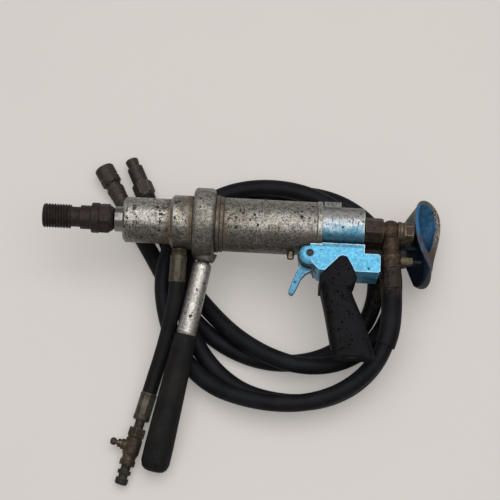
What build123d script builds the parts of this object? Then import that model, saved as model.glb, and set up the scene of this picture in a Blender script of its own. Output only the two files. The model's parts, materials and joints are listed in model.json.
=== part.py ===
from build123d import *
from math import asin, atan2, cos, degrees, dist, hypot, pi, radians, sin, sqrt, tan
import os

# Hydraulic core drill lying on its coiled hoses. The tool axis runs along X with the bit end at -X.
# Stations along the axis are counted from the thread tip; "low" is the side of the grip, at -Y.

# Where the tool lies
tip_x = -260.73
axis_y = 134.39
hose_room = 42.0

# Fits and gaps
running_gap = 0.05
seat_gap = 0.3
casting_gap = 0.4

# Bit adapter and spindle
thread_radius = 15.875
thread_length = 37.0
groove_radius = 13.2
groove_length = 11.0
shank_radius = 15.5
shank_length = 15.0
flange_radius = 19.8
flange_length = 10.5
adapter_hex = 35.0
adapter_hex_length = 13.5
adapter_cone_length = 6.0
adapter_stem_radius = 9.5
adapter_stem_length = 26.0
water_bore = 5.0
spindle_nose_radius = 16.5
spindle_nose_length = 11.7
spindle_radius = 14.0
spindle_tail_radius = 10.0

# Round housings
front_radius = 29.5
front_length = 61.0
tail_radius = 26.0
nose_chamfer = 4.0
collar_radius = 35.0
collar_length = 29.0
ring_length = 29.0
motor_radius = 35.0
motor_length = 120.4
ring_shoulder = 6.0
lock_ring_length = 5.3
band_length = 7.0
spigot_radius = motor_radius - 1.0
ring_radius = spigot_radius + 12.0
band_radius = motor_radius + 1.0
motor_bore = motor_radius - 6.0
axis_height = ring_radius + hose_room

# Motor gears
rotor_lobes = 6
lobe_pitch = 18.6
lobe_radius = 4.6
eccentric = 2.0
gear_length = 24.0
gear_pocket = 25.0
port_plate_length = 14.0

# Valve housing
valve_length = 54.6
valve_radius = motor_radius - 5.0
block_half = 23.0
block_tail = 20.4
nose_radius = 13.5
pin_back = 15.0
pin_radius = 2.6
hub_radius = 4.4
hub_clear = 1.6
pin_low = -(motor_radius + hub_clear + hub_radius)
block_top = -valve_radius + 3.5
block_step = pin_low + 2.4
block_bottom = pin_low - 22.0
spool_low = pin_low - 12.0
trigger_half = 5.3
spool_radius = 4.5
tang_half = 11.5
cheek_depth = 6.0
pad_length = 24.0
pad_rise = 3.2
pad_up = 15.0

# Grip
grip_half_top = block_half + seat_gap
grip_half_low = 16.0
grip_reach = 130.0

# Hose fittings at the rear
port_half = 15.5
port_low = -3.0
adapter_flats = 29.0
fitting_length = 23.5
eye_radius = 13.8
eye_length = 18.5
leg_radius = 12.0
leg_length = 46.0
leg_lean = 4.5
pressure_dip = 20.0
return_dip = 16.5
ferrule_radius = 12.6
ferrule_length = 26.0
elbow_bolt_flats = 21.0
elbow_bolt_radius = 6.4
hose_diameter = 22.5

# Side handle
handle_cant = 10.2
handle_start = 220.0
handle_stud_radius = 8.0
handle_gap = 2.5
tube_radius_start = 12.0
tube_radius_end = 13.0
tube_end = 148.0
core_radius = 9.0
rubber_radius_start = 15.0
rubber_radius_end = 18.5
rubber_end = 327.0
rubber_shoulder = 12.0

# Water line
water_station = 180.0
water_dip = 13.0
water_lean = 1.5
water_hose_diameter = 19.5
water_ferrule_radius = 10.8
water_valve_height = 21.5

# Couplers
coupler_radius = 13.5
coupler_ferrule_length = 15.0
nipple_radius = 10.75
nipple_tip_radius = 8.75
coupler_bore = nipple_tip_radius + 0.1
nipple_flats = 24.4
nipple_ferrule_length = 13.0

# Breast plate
rim_half_height = 59.0
rim_half_width = 37.0
base_half_height = 30.0
base_half_width = 18.0
plate_depth = 17.0
plate_thickness = 4.0
plate_lean = 28.0
plate_turn = 9.0
rim_behind = 85.4
rim_side = -11.5
rim_up = -18.0
pivot_behind = 51.9
pivot_side = -27.2
pivot_up = -12.0
strap_offset = -8.5
strap_thickness = 2.4


def place(station, side, up):
    return Vector(tip_x + station, axis_y + side, axis_height + up)


def turned(profile):
    # profile: (distance along the axis, radius) pairs, turned about the local Z axis
    outline = Polyline(*[(radius, 0, along) for along, radius in profile], close=True)
    return revolve(make_face(outline), Axis.Z)


def along_axis(shape):
    return Plane(origin=place(0, 0, 0), x_dir=(0, 1, 0), z_dir=(1, 0, 0)) * shape


def bar(radius, start, end):
    return Pos(0, 0, start) * Cylinder(radius, end - start, align=(Align.CENTER, Align.CENTER, Align.MIN))


def hex_bar(flats, start, end, turn=0.0):
    corner = flats / sqrt(3)
    return Pos(0, 0, start) * extrude(Rot(0, 0, turn) * RegularPolygon(corner, 6), end - start)


def side_plate(points, low, high):
    # outline in (station, side), standing from one height to another above the axis
    outline = Polyline(*[(tip_x + s, axis_y + u) for s, u in points], close=True)
    return Pos(0, 0, axis_height + low) * extrude(make_face(outline), high - low)


def by_pin(points):
    # (station, side) pairs counted from the trigger pin
    return [(pin_station + s, pin_low + u) for s, u in points]


def bend_radii(route):
    radii = []
    for before, here, after in zip(route, route[1:], route[2:]):
        back = before - here
        ahead = after - here
        half_turn = radians(180.0 - back.get_angle(ahead)) / 2
        radii.append(0.45 * min(back.length, ahead.length) / tan(half_turn))
    return radii


def hose_route(points):
    route = [Vector(tip_x + s, axis_y + u, z) for s, u, z in points]
    return FilletPolyline(*route, radius=bend_radii(route))


def hose(name, points, diameter):
    route = hose_route(points)
    start = Plane(origin=route @ 0, z_dir=route % 0)
    tube = sweep(start * Circle(diameter / 2), path=route)
    corners = [Vector(s, u, z) for s, u, z in points]
    radii = bend_radii(corners)
    print(name, "bend radii", [round(radius) for radius in radii])
    print(name, "length", round(route.length, 1), "least radius", round(min(radii), 1))
    print(name, "volume over section times length", tube.volume / (pi * diameter ** 2 / 4 * route.length))
    return tube


def samples(points, spacing=3.0):
    route = hose_route(points)
    count = int(route.length / spacing)
    return [(route @ (step / count)).to_tuple() for step in range(count + 1)]


# Stations of the shoulders
groove_start = thread_length
shank_start = groove_start + groove_length
flange_start = shank_start + shank_length
hex_start = flange_start + flange_length
cone_start = hex_start + adapter_hex_length
adapter_end = cone_start + adapter_cone_length
front_start = adapter_end + spindle_nose_length + seat_gap
front_end = front_start + front_length
collar_end = front_end + collar_length
ring_end = collar_end + ring_length
lock_end = ring_end + 2 * lock_ring_length
motor_end = lock_end + motor_length
valve_start = motor_end + band_length
valve_end = valve_start + valve_length
gear_start = lock_end + 28.0
gear_end = gear_start + gear_length
plate_end = gear_end + port_plate_length
pin_station = valve_start - pin_back
block_end = valve_end + block_tail
rim_station = valve_end + rim_behind
pivot_station = valve_end + pivot_behind

# Bit adapter: coarse thread stub, run-out groove, shank, flange, hexagon and a cone into the spindle
adapter_profile = [
    (0, water_bore),
    (0, thread_radius - 1.6),
    (1.6, thread_radius),
    (groove_start - 1.2, thread_radius),
    (groove_start, groove_radius),
    (shank_start, groove_radius),
    (shank_start + 1.0, shank_radius),
    (flange_start, shank_radius),
    (flange_start, flange_radius - 1.0),
    (flange_start + 1.0, flange_radius),
    (hex_start - 1.0, flange_radius),
    (hex_start, flange_radius - 1.0),
    (hex_start, adapter_hex / 2 - 0.5),
    (cone_start, adapter_hex / 2 - 0.5),
    (adapter_end - 0.4 * adapter_cone_length, 15.2),
    (adapter_end, 12.5),
    (adapter_end, adapter_stem_radius),
    (adapter_end + adapter_stem_length, adapter_stem_radius),
    (adapter_end + adapter_stem_length, water_bore),
]
adapter_nut = turned([
    (hex_start, water_bore),
    (hex_start, adapter_hex / 2 + 1.2),
    (hex_start + 1.4, adapter_hex / sqrt(3)),
    (cone_start - 1.4, adapter_hex / sqrt(3)),
    (cone_start, adapter_hex / 2 + 0.4),
    (cone_start, water_bore),
]) & hex_bar(adapter_hex, hex_start, cone_start, turn=30)
thread_adapter = along_axis(turned(adapter_profile) + adapter_nut)

# Spindle: bored for the adapter stem and for the water that comes in through its cross holes
bearing_seat = 15.0
front_bearing_start = front_start + 9.0
front_bearing_end = front_bearing_start + 16.0
rear_bearing_start = collar_end + 9.0
rear_bearing_end = rear_bearing_start + 14.0
socket_end = adapter_end + adapter_stem_length + 1.0
spindle = turned([
    (adapter_end + seat_gap, adapter_stem_radius + running_gap),
    (adapter_end + seat_gap, spindle_nose_radius - 0.8),
    (adapter_end + seat_gap + 0.8, spindle_nose_radius),
    (front_start - seat_gap, spindle_nose_radius),
    (front_start - seat_gap, bearing_seat),
    (front_bearing_end, bearing_seat),
    (front_bearing_end, spindle_radius),
    (rear_bearing_start, spindle_radius),
    (rear_bearing_start, spindle_radius - 1.0),
    (rear_bearing_end, spindle_radius - 1.0),
    (rear_bearing_end, 12.0),
    (gear_start - 2.0, 12.0),
    (gear_start - 2.0, spindle_tail_radius),
    (gear_end - 0.5, spindle_tail_radius),
    (gear_end - 0.5, 0),
    (water_station + 8.0, 0),
    (water_station + 8.0, water_bore),
    (socket_end, water_bore),
    (socket_end, adapter_stem_radius + running_gap),
])
cross_hole = Pos(0, 0, water_station) * Rot(90, 0, 0) * Cylinder(3.0, 60)
output_spindle = along_axis(spindle - cross_hole)

# Bearings and seals on the spindle
seal_radius = 22.0
bearing_radius = 24.0
rear_bearing_radius = 22.0
water_room_radius = 20.0
shaft_seal = along_axis(turned([
    (front_start + 2.3, bearing_seat + running_gap),
    (front_start + 2.3, seal_radius - running_gap),
    (front_start + 8.2, seal_radius - running_gap),
    (front_start + 8.2, bearing_seat + running_gap),
]))
front_bearing = along_axis(turned([
    (front_bearing_start + 0.1, bearing_seat + running_gap),
    (front_bearing_start + 0.1, bearing_radius - running_gap),
    (front_bearing_end - 0.1, bearing_radius - running_gap),
    (front_bearing_end - 0.1, bearing_seat + running_gap),
]))
rear_bearing = along_axis(turned([
    (rear_bearing_start + 0.1, spindle_radius - 1.0 + running_gap),
    (rear_bearing_start + 0.1, rear_bearing_radius - running_gap),
    (rear_bearing_end - 0.1, rear_bearing_radius - running_gap),
    (rear_bearing_end - 0.1, spindle_radius - 1.0 + running_gap),
]))
seal_half_span = 10.0
seal_width = 4.0
water_seals = []
for seal_middle in (water_station - seal_half_span, water_station + seal_half_span):
    water_seals.append(along_axis(turned([
        (seal_middle - seal_width / 2, spindle_radius + running_gap),
        (seal_middle - seal_width / 2, water_room_radius - running_gap),
        (seal_middle + seal_width / 2, water_room_radius - running_gap),
        (seal_middle + seal_width / 2, spindle_radius + running_gap),
    ])))

# Front housing: nose with a chamfer, body, and a long tail that carries the collar and enters the motor
front_shell = turned([
    (front_start, spindle_nose_radius + 1.0),
    (front_start, front_radius - nose_chamfer),
    (front_start + 0.75 * nose_chamfer, front_radius),
    (front_end, front_radius),
    (front_end, tail_radius),
    (ring_end, tail_radius),
    (ring_end, 16.0),
    (rear_bearing_end, 16.0),
    (rear_bearing_end, rear_bearing_radius),
    (rear_bearing_start, rear_bearing_radius),
    (rear_bearing_start, water_room_radius),
    (front_bearing_end, water_room_radius),
    (front_bearing_end, bearing_radius),
    (front_bearing_start, bearing_radius),
    (front_bearing_start, seal_radius),
    (front_start + 2.0, seal_radius),
    (front_start + 2.0, spindle_nose_radius + 1.0),
])
water_plane = Plane(
    origin=place(water_station, 0, 0),
    x_dir=(0, 0, 1),
    z_dir=(
        -sin(radians(water_lean)),
        -cos(radians(water_lean)) * cos(radians(water_dip)),
        -cos(radians(water_lean)) * sin(radians(water_dip)),
    ),
)
front_housing = along_axis(front_shell) - water_plane * bar(4.0, 10, 40)

# Water collar on the tail, with its threaded inlet
inlet_radius = 6.5
water_collar = along_axis(turned([
    (front_end, tail_radius + running_gap),
    (front_end, collar_radius - 4.5),
    (front_end + 4.0, collar_radius),
    (collar_end - 1.0, collar_radius),
    (collar_end, collar_radius - 1.0),
    (collar_end, tail_radius + running_gap),
])) - water_plane * bar(inlet_radius + running_gap, 20, 60)

# Side handle direction: canted forward, and dipping so far that the rubber end lies on the floor
shoulder = rubber_end - rubber_shoulder
drop = asin(axis_height / hypot(shoulder, rubber_radius_end)) - atan2(rubber_radius_end, shoulder)
handle_dip = degrees(asin(sin(drop) / cos(radians(handle_cant))))
handle_plane = Plane(
    origin=place(handle_start, 0, 0),
    x_dir=(cos(radians(handle_cant)), -sin(radians(handle_cant)), 0),
    z_dir=(
        -sin(radians(handle_cant)),
        -cos(radians(handle_cant)) * cos(radians(handle_dip)),
        -cos(radians(handle_cant)) * sin(radians(handle_dip)),
    ),
)

# Clamp ring for the handle, turning on the motor spigot
ring_boss_end = ring_radius + 4.0
ring_body = bar(ring_radius, collar_end + seat_gap, ring_end - seat_gap)
ring_body = fillet(ring_body.edges().filter_by(GeomType.CIRCLE), ring_shoulder)
ring_body = along_axis(ring_body - bar(spigot_radius + running_gap, collar_end, ring_end))
ring_boss = handle_plane * turned([
    (spigot_radius + 5.0, 0),
    (spigot_radius + 5.0, 15.5),
    (ring_boss_end - 2.0, 13.5),
    (ring_boss_end, 12.0),
    (ring_boss_end, 0),
])
stud_hole_start = spigot_radius + 5.5
handle_clamp_ring = ring_body + ring_boss - handle_plane * bar(handle_stud_radius, stud_hole_start, 80)

# Handle: stud, tapered tube with a core, rubber grip with a domed end
tube_start = ring_boss_end + handle_gap
core_end = rubber_end - 22.0
handle_stud = handle_plane * bar(handle_stud_radius - running_gap, stud_hole_start + 1.0, tube_start + 18.0)
tube_body = turned([
    (tube_start, 0),
    (tube_start, tube_radius_start - 3.0),
    (tube_start + 1.0, tube_radius_start - 1.2),
    (tube_start + 3.5, tube_radius_start),
    (tube_end - 3.0, tube_radius_end),
    (tube_end, tube_radius_end - 1.0),
    (tube_end, core_radius),
    (core_end, core_radius),
    (core_end, 0),
])
handle_tube = handle_plane * (tube_body - bar(handle_stud_radius, tube_start - 1.0, tube_start + 19.0))
rubber_profile = [
    (tube_end + 0.2, core_radius + running_gap),
    (tube_end + 0.2, rubber_radius_start - 1.5),
    (tube_end + 2.0, rubber_radius_start),
    (tube_end + 40.0, rubber_radius_start + 0.9),
    (rubber_end - 34.0, rubber_radius_end),
    (rubber_end - rubber_shoulder, rubber_radius_end),
    (rubber_end - 5.0, rubber_radius_end - 2.4),
    (rubber_end - 1.4, rubber_radius_end - 6.5),
    (rubber_end, rubber_radius_end - 12.0),
    (rubber_end, 0),
    (core_end + 0.3, 0),
    (core_end + 0.3, core_radius + running_gap),
]
handle_rubber = handle_plane * turned(rubber_profile)

# Two thin rings that hold the clamp ring on the spigot
lock_rings = []
for start, rim in ((ring_end, motor_radius + 2.0), (ring_end + lock_ring_length, motor_radius + 1.2)):
    lock_rings.append(along_axis(turned([
        (start + 0.1, spigot_radius + running_gap),
        (start + 0.1, rim - 0.8),
        (start + 0.9, rim),
        (start + lock_ring_length - 0.9, rim),
        (start + lock_ring_length - 0.1, rim - 0.8),
        (start + lock_ring_length - 0.1, spigot_radius + running_gap),
    ])))

# Motor housing: spigot, long body, an off-centre pocket for the gears and a wide bore behind it
motor_shell = turned([
    (collar_end + 0.5, tail_radius + running_gap),
    (collar_end + 0.5, spigot_radius),
    (lock_end, spigot_radius),
    (lock_end, motor_radius - 1.2),
    (lock_end + 1.2, motor_radius),
    (motor_end - 0.6, motor_radius),
    (motor_end, motor_radius - 0.6),
    (motor_end, motor_bore),
    (gear_end, motor_bore),
    (gear_end, 16.0),
    (ring_end + 0.2, 16.0),
    (ring_end + 0.2, tail_radius + running_gap),
])
pocket = Pos(-eccentric, 0, 0) * bar(gear_pocket, gear_start, gear_end + 1.0)
bleed_station = motor_end - 32.0
bleed_plane = Plane(origin=place(bleed_station, 0, 0), x_dir=(1, 0, 0), z_dir=(0, -1, 0))
bleed_radius = 3.0
motor_housing = along_axis(motor_shell - pocket) - bleed_plane * bar(bleed_radius, 20, 50)
bleed_screw = bleed_plane * (
    bar(bleed_radius - running_gap, motor_bore + 1.0, motor_radius + 0.2)
    + bar(5.0, motor_radius + 0.1, motor_radius + 4.0)
    + hex_bar(7.5, motor_radius + 4.0, motor_radius + 8.0)
)

# Motor gears. The inner rotor is the path of the outer lobes seen from a shaft set off by the eccentric:
# each point is the lobe centre minus the lobe radius along the path normal, with a running gap.
outer_lobes = rotor_lobes + 1
lobe_reach = lobe_radius + seat_gap


def rotor_point(angle):
    swing = (1 - outer_lobes) * angle
    lean = atan2(sin(swing), lobe_pitch / (eccentric * outer_lobes) - cos(swing))
    across = lobe_pitch * cos(angle) - lobe_reach * cos(angle + lean) - eccentric * cos(outer_lobes * angle)
    up = -lobe_pitch * sin(angle) + lobe_reach * sin(angle + lean) + eccentric * sin(outer_lobes * angle)
    return (across, up)


rotor_steps = 48
rotor_edge = Spline(*[rotor_point(2 * pi * step / rotor_steps) for step in range(rotor_steps)], periodic=True)
rotor_face = make_face(rotor_edge) - Circle(spindle_tail_radius + running_gap)
gerotor_inner = along_axis(Pos(0, 0, gear_start + 0.3) * extrude(rotor_face, gear_length - 0.6))
ring_inside = lobe_pitch - lobe_radius + 2 * eccentric + seat_gap
outer_face = Circle(gear_pocket - running_gap) - Circle(ring_inside)
for lobe in range(outer_lobes):
    lobe_angle = 2 * pi * lobe / outer_lobes
    lobe_face = Pos(lobe_pitch * cos(lobe_angle), lobe_pitch * sin(lobe_angle)) * Circle(lobe_radius)
    outer_face = outer_face + lobe_face
gerotor_outer = along_axis(Pos(-eccentric, 0, gear_start + 0.3) * extrude(outer_face, gear_length - 0.6))

# Port plate behind the gears, with two curved windows as round holes
port_disc = bar(motor_bore - running_gap, gear_end + 0.1, plate_end)
for window in (-1, 1):
    port_disc = port_disc - Pos(0, window * 14.0, 0) * bar(5.0, gear_end - 1, plate_end + 1)
port_plate = along_axis(port_disc)

rear_band = along_axis(turned([
    (motor_end + 0.1, motor_bore + running_gap),
    (motor_end + 0.1, band_radius - 0.8),
    (motor_end + 0.9, band_radius),
    (valve_start - 0.9, band_radius),
    (valve_start - 0.1, band_radius - 0.8),
    (valve_start - 0.1, motor_bore + running_gap),
]))

# Grip: a gabled head that lies over the block, and a hand part given by sections (side, front, back, half)
head_outline = by_pin([
    (14.0, -43.0),
    (14.0, -29.0),
    (38.0, -2.5),
    (47.0, -2.5),
    (53.0, -13.0),
    (61.0, -29.0),
    (59.0, -35.0),
    (52.5, -43.0),
])
hand_sections = [
    (-39.0, 14.6, 53.0, block_half),
    (-55.0, 18.6, 59.0, 0.3 * block_half + 0.7 * grip_half_low + 2.9),
    (-0.6 * grip_reach, 23.5, 69.5, grip_half_low + 2.8),
    (-0.8 * grip_reach, 28.5, 79.5, grip_half_low + 1.0),
    (-grip_reach, 34.0, 87.5, grip_half_low),
]
hand_corner = 11.0
tang_end = 14.0 - grip_reach
tang_outline = by_pin([
    (24.0, -21.0),
    (26.0, -41.0),
    (44.0, tang_end),
    (72.0, tang_end),
    (64.0, 0.73 * tang_end),
    (44.0, -41.0),
    (46.0, -21.0),
])

# Valve housing: round body over a thick block with a round nose, a rear step, and a tang for the grip
block_outline = [
    (pin_station, block_top - 1.0),
    (pin_station + 2.0, block_top),
    (valve_end, block_top),
    (valve_end, block_step),
    (block_end - 2.0, block_step),
    (block_end, block_step - 2.0),
    (block_end, block_bottom + 2.0),
    (block_end - 2.0, block_bottom),
    (pin_station + 12.0, block_bottom),
    (pin_station + 3.0, pin_low - nose_radius + 1.0),
    (pin_station, pin_low),
]
valve_body = along_axis(turned([
    (valve_start - 24.0, 0),
    (valve_start - 24.0, motor_bore - running_gap),
    (valve_start, motor_bore - running_gap),
    (valve_start, valve_radius),
    (valve_end - 1.2, valve_radius),
    (valve_end, valve_radius - 1.2),
    (valve_end, 0),
]))
valve_pad = side_plate(
    [
        (valve_start + 2.0, 0.0),
        (valve_start + pad_length, 0.0),
        (valve_start + pad_length, valve_radius + pad_rise),
        (valve_start + 2.0, valve_radius + pad_rise),
    ],
    -2.0,
    pad_up,
)
valve_block = side_plate(block_outline, -block_half, block_half)
nose_profile = [
    (-block_half, 0),
    (-block_half, nose_radius - 5.0),
    (-block_half + 1.6, nose_radius - 2.2),
    (-block_half + 5.0, nose_radius),
    (block_half - 5.0, nose_radius),
    (block_half - 1.6, nose_radius - 2.2),
    (block_half, nose_radius - 5.0),
    (block_half, 0),
]
pin_plane = Plane(origin=place(pin_station, pin_low, 0), x_dir=(1, 0, 0), z_dir=(0, 0, 1))
valve_block = valve_block + pin_plane * turned(nose_profile)
# the block stays under the motor and band, clear of their round sides
relief = along_axis(bar(band_radius + casting_gap, 0, valve_start))
valve_block = valve_block - relief
valve_core = valve_body + valve_pad + valve_block + side_plate(tang_outline, -tang_half, tang_half)
cheek_outline = by_pin([
    (13.5, -30.0),
    (13.5, -28.6),
    (37.7, -2.5),
    (42.0, -0.8),
    (47.5, -2.5),
    (53.6, -12.8),
    (61.7, -29.0),
])
for low, high in ((-block_half - 1, -block_half + cheek_depth), (block_half - cheek_depth, block_half + 1)):
    valve_core = valve_core - side_plate(cheek_outline, low, high)
# slot in the nose for the trigger, the pin with its countersinks, and the spool bore behind it
slot_half = trigger_half + seat_gap
trigger_slot = by_pin([
    (-20.0, 12.0),
    (10.5, 12.0),
    (10.5, -39.0),
    (-20.0, -39.0),
])
valve_core = valve_core - side_plate(trigger_slot, -slot_half, slot_half)
valve_core = valve_core - pin_plane * bar(pin_radius + running_gap, -40, 40)
for low, high in ((-block_half - 1, -block_half + 2.5), (block_half - 2.5, block_half + 1)):
    valve_core = valve_core - pin_plane * bar(4.2, low, high)
spool_plane = Plane(origin=place(0, spool_low, 0), x_dir=(0, 1, 0), z_dir=(1, 0, 0))
plug_length = 8.0
spool_room_end = block_end - plug_length
valve_core = valve_core - spool_plane * bar(spool_radius + running_gap, pin_station, block_end + 1)
valve_core = valve_core - spool_plane * bar(spool_radius + 1.5, spool_room_end, block_end + 1)
# two threaded ports in the rear face
port_radius = 9.0
port_depth = 15.0
port_planes = []
for up in (port_half, -port_half):
    port_planes.append(Plane(origin=place(valve_end, port_low, up), x_dir=(0, 1, 0), z_dir=(1, 0, 0)))
for port_plane in port_planes:
    valve_core = valve_core - port_plane * bar(port_radius, -port_depth - 1.0, 1.0)
# screw holes for the plate bracket in the step
foot_screw_stations = (valve_end + 6.0, valve_end + 14.5)
foot_screw_radius = 2.0
foot_screw_up = 2.5
step_plane = Plane(origin=place(0, block_step, foot_screw_up), x_dir=(1, 0, 0), z_dir=(0, 1, 0))
for station in foot_screw_stations:
    valve_core = valve_core - step_plane * Pos(station, 0, 0) * bar(foot_screw_radius, -9, 1)
valve_housing = valve_core

# Rubber grip: hollow for the tang and notched for the block
grip_head = side_plate(head_outline, -grip_half_top, grip_half_top)
head_edges = [
    edge
    for edge in grip_head.edges()
    if abs(abs(edge.center().Z - axis_height) - grip_half_top) < 0.01
]
grip_head = fillet(head_edges, 2.5)
hand_faces = []
for side, front, back, half in hand_sections:
    section_plane = Plane(
        origin=place(pin_station + (front + back) / 2, pin_low + side, 0),
        x_dir=(1, 0, 0),
        z_dir=(0, -1, 0),
    )
    hand_faces.append(section_plane * RectangleRounded(back - front, 2 * half, hand_corner))
grip_body = grip_head + loft(hand_faces)
block_room = side_plate(
    [
        (pin_station - 30.0, 20.0),
        (block_end + 20.0, 20.0),
        (block_end + 20.0, block_bottom - seat_gap),
        (pin_station - 30.0, block_bottom - seat_gap),
    ],
    -block_half + cheek_depth - 0.2,
    block_half - cheek_depth + 0.2,
)
tang_room = side_plate(
    [(s + shift, u) for (s, u), shift in zip(tang_outline, 3 * (-seat_gap,) + 4 * (seat_gap,))],
    -tang_half - 2 * running_gap,
    tang_half + 2 * running_gap,
)
tang_end_room = side_plate(
    by_pin([
        (44.0 - seat_gap, tang_end + 0.1),
        (44.0 - seat_gap, tang_end - casting_gap),
        (72.0 + seat_gap, tang_end - casting_gap),
        (72.0 + seat_gap, tang_end + 0.1),
    ]),
    -tang_half - 2 * running_gap,
    tang_half + 2 * running_gap,
)
grip_screw_radius = 4.0
grip_screw_plane = Plane(
    origin=place(pin_station + 58.0, pin_low - grip_reach, 0),
    x_dir=(1, 0, 0),
    z_dir=(0, 1, 0),
)
grip_screw_hole = grip_screw_plane * (
    bar(grip_screw_radius + 0.1, -1, 20) + bar(grip_screw_radius + 3.1, -1, 6)
)
pistol_grip = grip_body - block_room - tang_room - tang_end_room - grip_screw_hole
valve_housing = valve_housing - grip_screw_plane * bar(grip_screw_radius, 10, 40)
grip_screw = grip_screw_plane * (
    bar(grip_screw_radius - running_gap, 5.0, 34.0) + bar(grip_screw_radius + 3.0, 1.0, 5.9)
)

# Trigger lever on its pin, its hub small enough to clear the round motor above
trigger_outline = by_pin([
    (-3.6, 0.0),
    (-9.2, -9.0),
    (-15.5, -20.0),
    (-20.5, -33.0),
    (-24.6, -45.0),
    (-24.6, -48.6),
    (-22.0, -51.0),
    (-18.4, -50.0),
    (-15.0, -43.0),
    (-9.0, -28.5),
    (-2.0, -20.5),
    (5.6, -16.5),
    (6.0, -7.0),
    (3.6, 0.0),
])
trigger_body = side_plate(trigger_outline, -trigger_half, trigger_half)
trigger_body = trigger_body + pin_plane * bar(hub_radius, -trigger_half, trigger_half)
pad_edges = [
    edge
    for edge in trigger_body.edges()
    if edge.center().Y < axis_y + pin_low - 21 and abs(abs(edge.center().Z - axis_height) - trigger_half) < 0.01
]
trigger_body = fillet(pad_edges, 1.4)
trigger = trigger_body - pin_plane * bar(pin_radius + 2 * running_gap, -40, 40)
trigger_pin = pin_plane * bar(pin_radius, -block_half + 1.0, block_half - 1.0)

# Leaf spring that lies round the nose beside the trigger, with a tail under the block
leaf_thickness = 1.6
leaf_inside = nose_radius + seat_gap
leaf_outside = leaf_inside + leaf_thickness
leaf_low = 7.0
leaf_high = 15.0
leaf_ring = turned([
    (leaf_low, leaf_inside),
    (leaf_low, leaf_outside),
    (leaf_high, leaf_outside),
    (leaf_high, leaf_inside),
])
leaf_sector = extrude(
    make_face(Polyline((0, 0), (-60, 13), (-60, -60), (14, -60), close=True)),
    leaf_high,
)
leaf_tail = Pos(0, 0, leaf_low) * extrude(
    make_face(Polyline((2.5, -14.3), (5.0, -29.0), (6.6, -28.8), (4.4, -14.6), close=True)),
    leaf_high - leaf_low,
)
trigger_spring = pin_plane * ((leaf_ring & leaf_sector) + leaf_tail)

# Spool, its return spring and the plug that closes the bore
spool_start = pin_station + 6.3
spool_end = spool_room_end - 26.0
valve_spool = spool_plane * turned([
    (spool_start, 0),
    (spool_start, 2.5),
    (spool_start + 1.5, spool_radius),
    (spool_start + 16.0, spool_radius),
    (spool_start + 17.0, spool_radius - 1.5),
    (spool_start + 28.0, spool_radius - 1.5),
    (spool_start + 29.0, spool_radius),
    (spool_end, spool_radius),
    (spool_end, 0),
])
spool_spring = spool_plane * turned([
    (spool_end + 5.0, 2.2),
    (spool_end + 5.0, spool_radius - 0.2),
    (spool_room_end - 0.4, spool_radius - 0.2),
    (spool_room_end - 0.4, 2.2),
])
spool_plug = spool_plane * bar(spool_radius + 1.5 - running_gap, spool_room_end + 0.1, block_end - 0.5)

# Rear fittings: hexagon adapters, eye fittings with a leg each, washers and bolts
port_adapters = []
elbow_bolts = []
elbow_washers = []
eye_start = fitting_length + 0.8
eye_end = eye_start + eye_length
washer_end = eye_end + 9.0
bolt_heads = (11.0, 5.0)
for port_plane, head_length in zip(port_planes, bolt_heads):
    bolt_end = washer_end + head_length
    hexagon = turned([
        (0.3, 0),
        (0.3, adapter_flats / 2 + 0.2),
        (1.8, adapter_flats / sqrt(3)),
        (fitting_length - 1.8, adapter_flats / sqrt(3)),
        (fitting_length, adapter_flats / 2 + 0.2),
        (fitting_length, 0),
    ]) & hex_bar(adapter_flats, 0.3, fitting_length)
    adapter = hexagon + bar(port_radius - running_gap, -port_depth + 0.5, 0.4)
    port_adapters.append(port_plane * (adapter - bar(elbow_bolt_radius + running_gap, 4.0, 60)))
    head = turned([
        (washer_end + 0.1, 0),
        (washer_end + 0.1, elbow_bolt_flats / sqrt(3)),
        (bolt_end - 1.6, elbow_bolt_flats / sqrt(3)),
        (bolt_end, elbow_bolt_flats / 2 - 0.3),
        (bolt_end, 0),
    ]) & hex_bar(elbow_bolt_flats, washer_end + 0.1, bolt_end, turn=14)
    elbow_bolts.append(port_plane * (head + bar(elbow_bolt_radius, 6.0, washer_end + 0.2)))
    for start, end, rim in (
        (fitting_length + 0.1, eye_start - 0.1, 11.0),
        (eye_end + 0.1, eye_end + 4.2, 12.4),
        (eye_end + 4.4, washer_end, 11.6),
    ):
        washer = bar(rim, start, end) - bar(elbow_bolt_radius + running_gap, start - 1, end + 1)
        elbow_washers.append(port_plane * washer)


def leg_plane(up, dip):
    return Plane(
        origin=place(valve_end + (eye_start + eye_end) / 2, port_low, up),
        x_dir=(cos(radians(leg_lean)), sin(radians(leg_lean)), 0),
        z_dir=(
            sin(radians(leg_lean)) * cos(radians(dip)),
            -cos(radians(leg_lean)) * cos(radians(dip)),
            -sin(radians(dip)),
        ),
    )


def elbow(port_plane, leg):
    ball = Pos(0, 0, (eye_start + eye_end) / 2) * Sphere(eye_radius)
    eye = port_plane * (ball & bar(eye_radius, eye_start, eye_end))
    stem = leg * turned([
        (0, 0),
        (0, leg_radius - 2.0),
        (16.0, leg_radius - 2.0),
        (18.0, leg_radius - 1.3),
        (leg_length - 15.0, leg_radius - 1.3),
        (leg_length - 14.0, leg_radius),
        (leg_length - 1.0, leg_radius),
        (leg_length - 0.1, leg_radius - 0.9),
        (leg_length - 0.1, 0),
    ])
    spot_faces = bar(13.2, eye_end, washer_end) + bar(12.0, fitting_length, eye_start)
    bolt_hole = bar(elbow_bolt_radius + running_gap, eye_start - 1, eye_end + 1)
    return eye + (stem - port_plane * spot_faces) - port_plane * bolt_hole


def hose_ferrule(leg):
    return leg * turned([
        (leg_length, 0),
        (leg_length, ferrule_radius - 1.2),
        (leg_length + 1.2, ferrule_radius),
        (leg_length + ferrule_length - 1.0, ferrule_radius),
        (leg_length + ferrule_length, ferrule_radius - 0.6),
        (leg_length + ferrule_length, 0),
    ])


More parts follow.
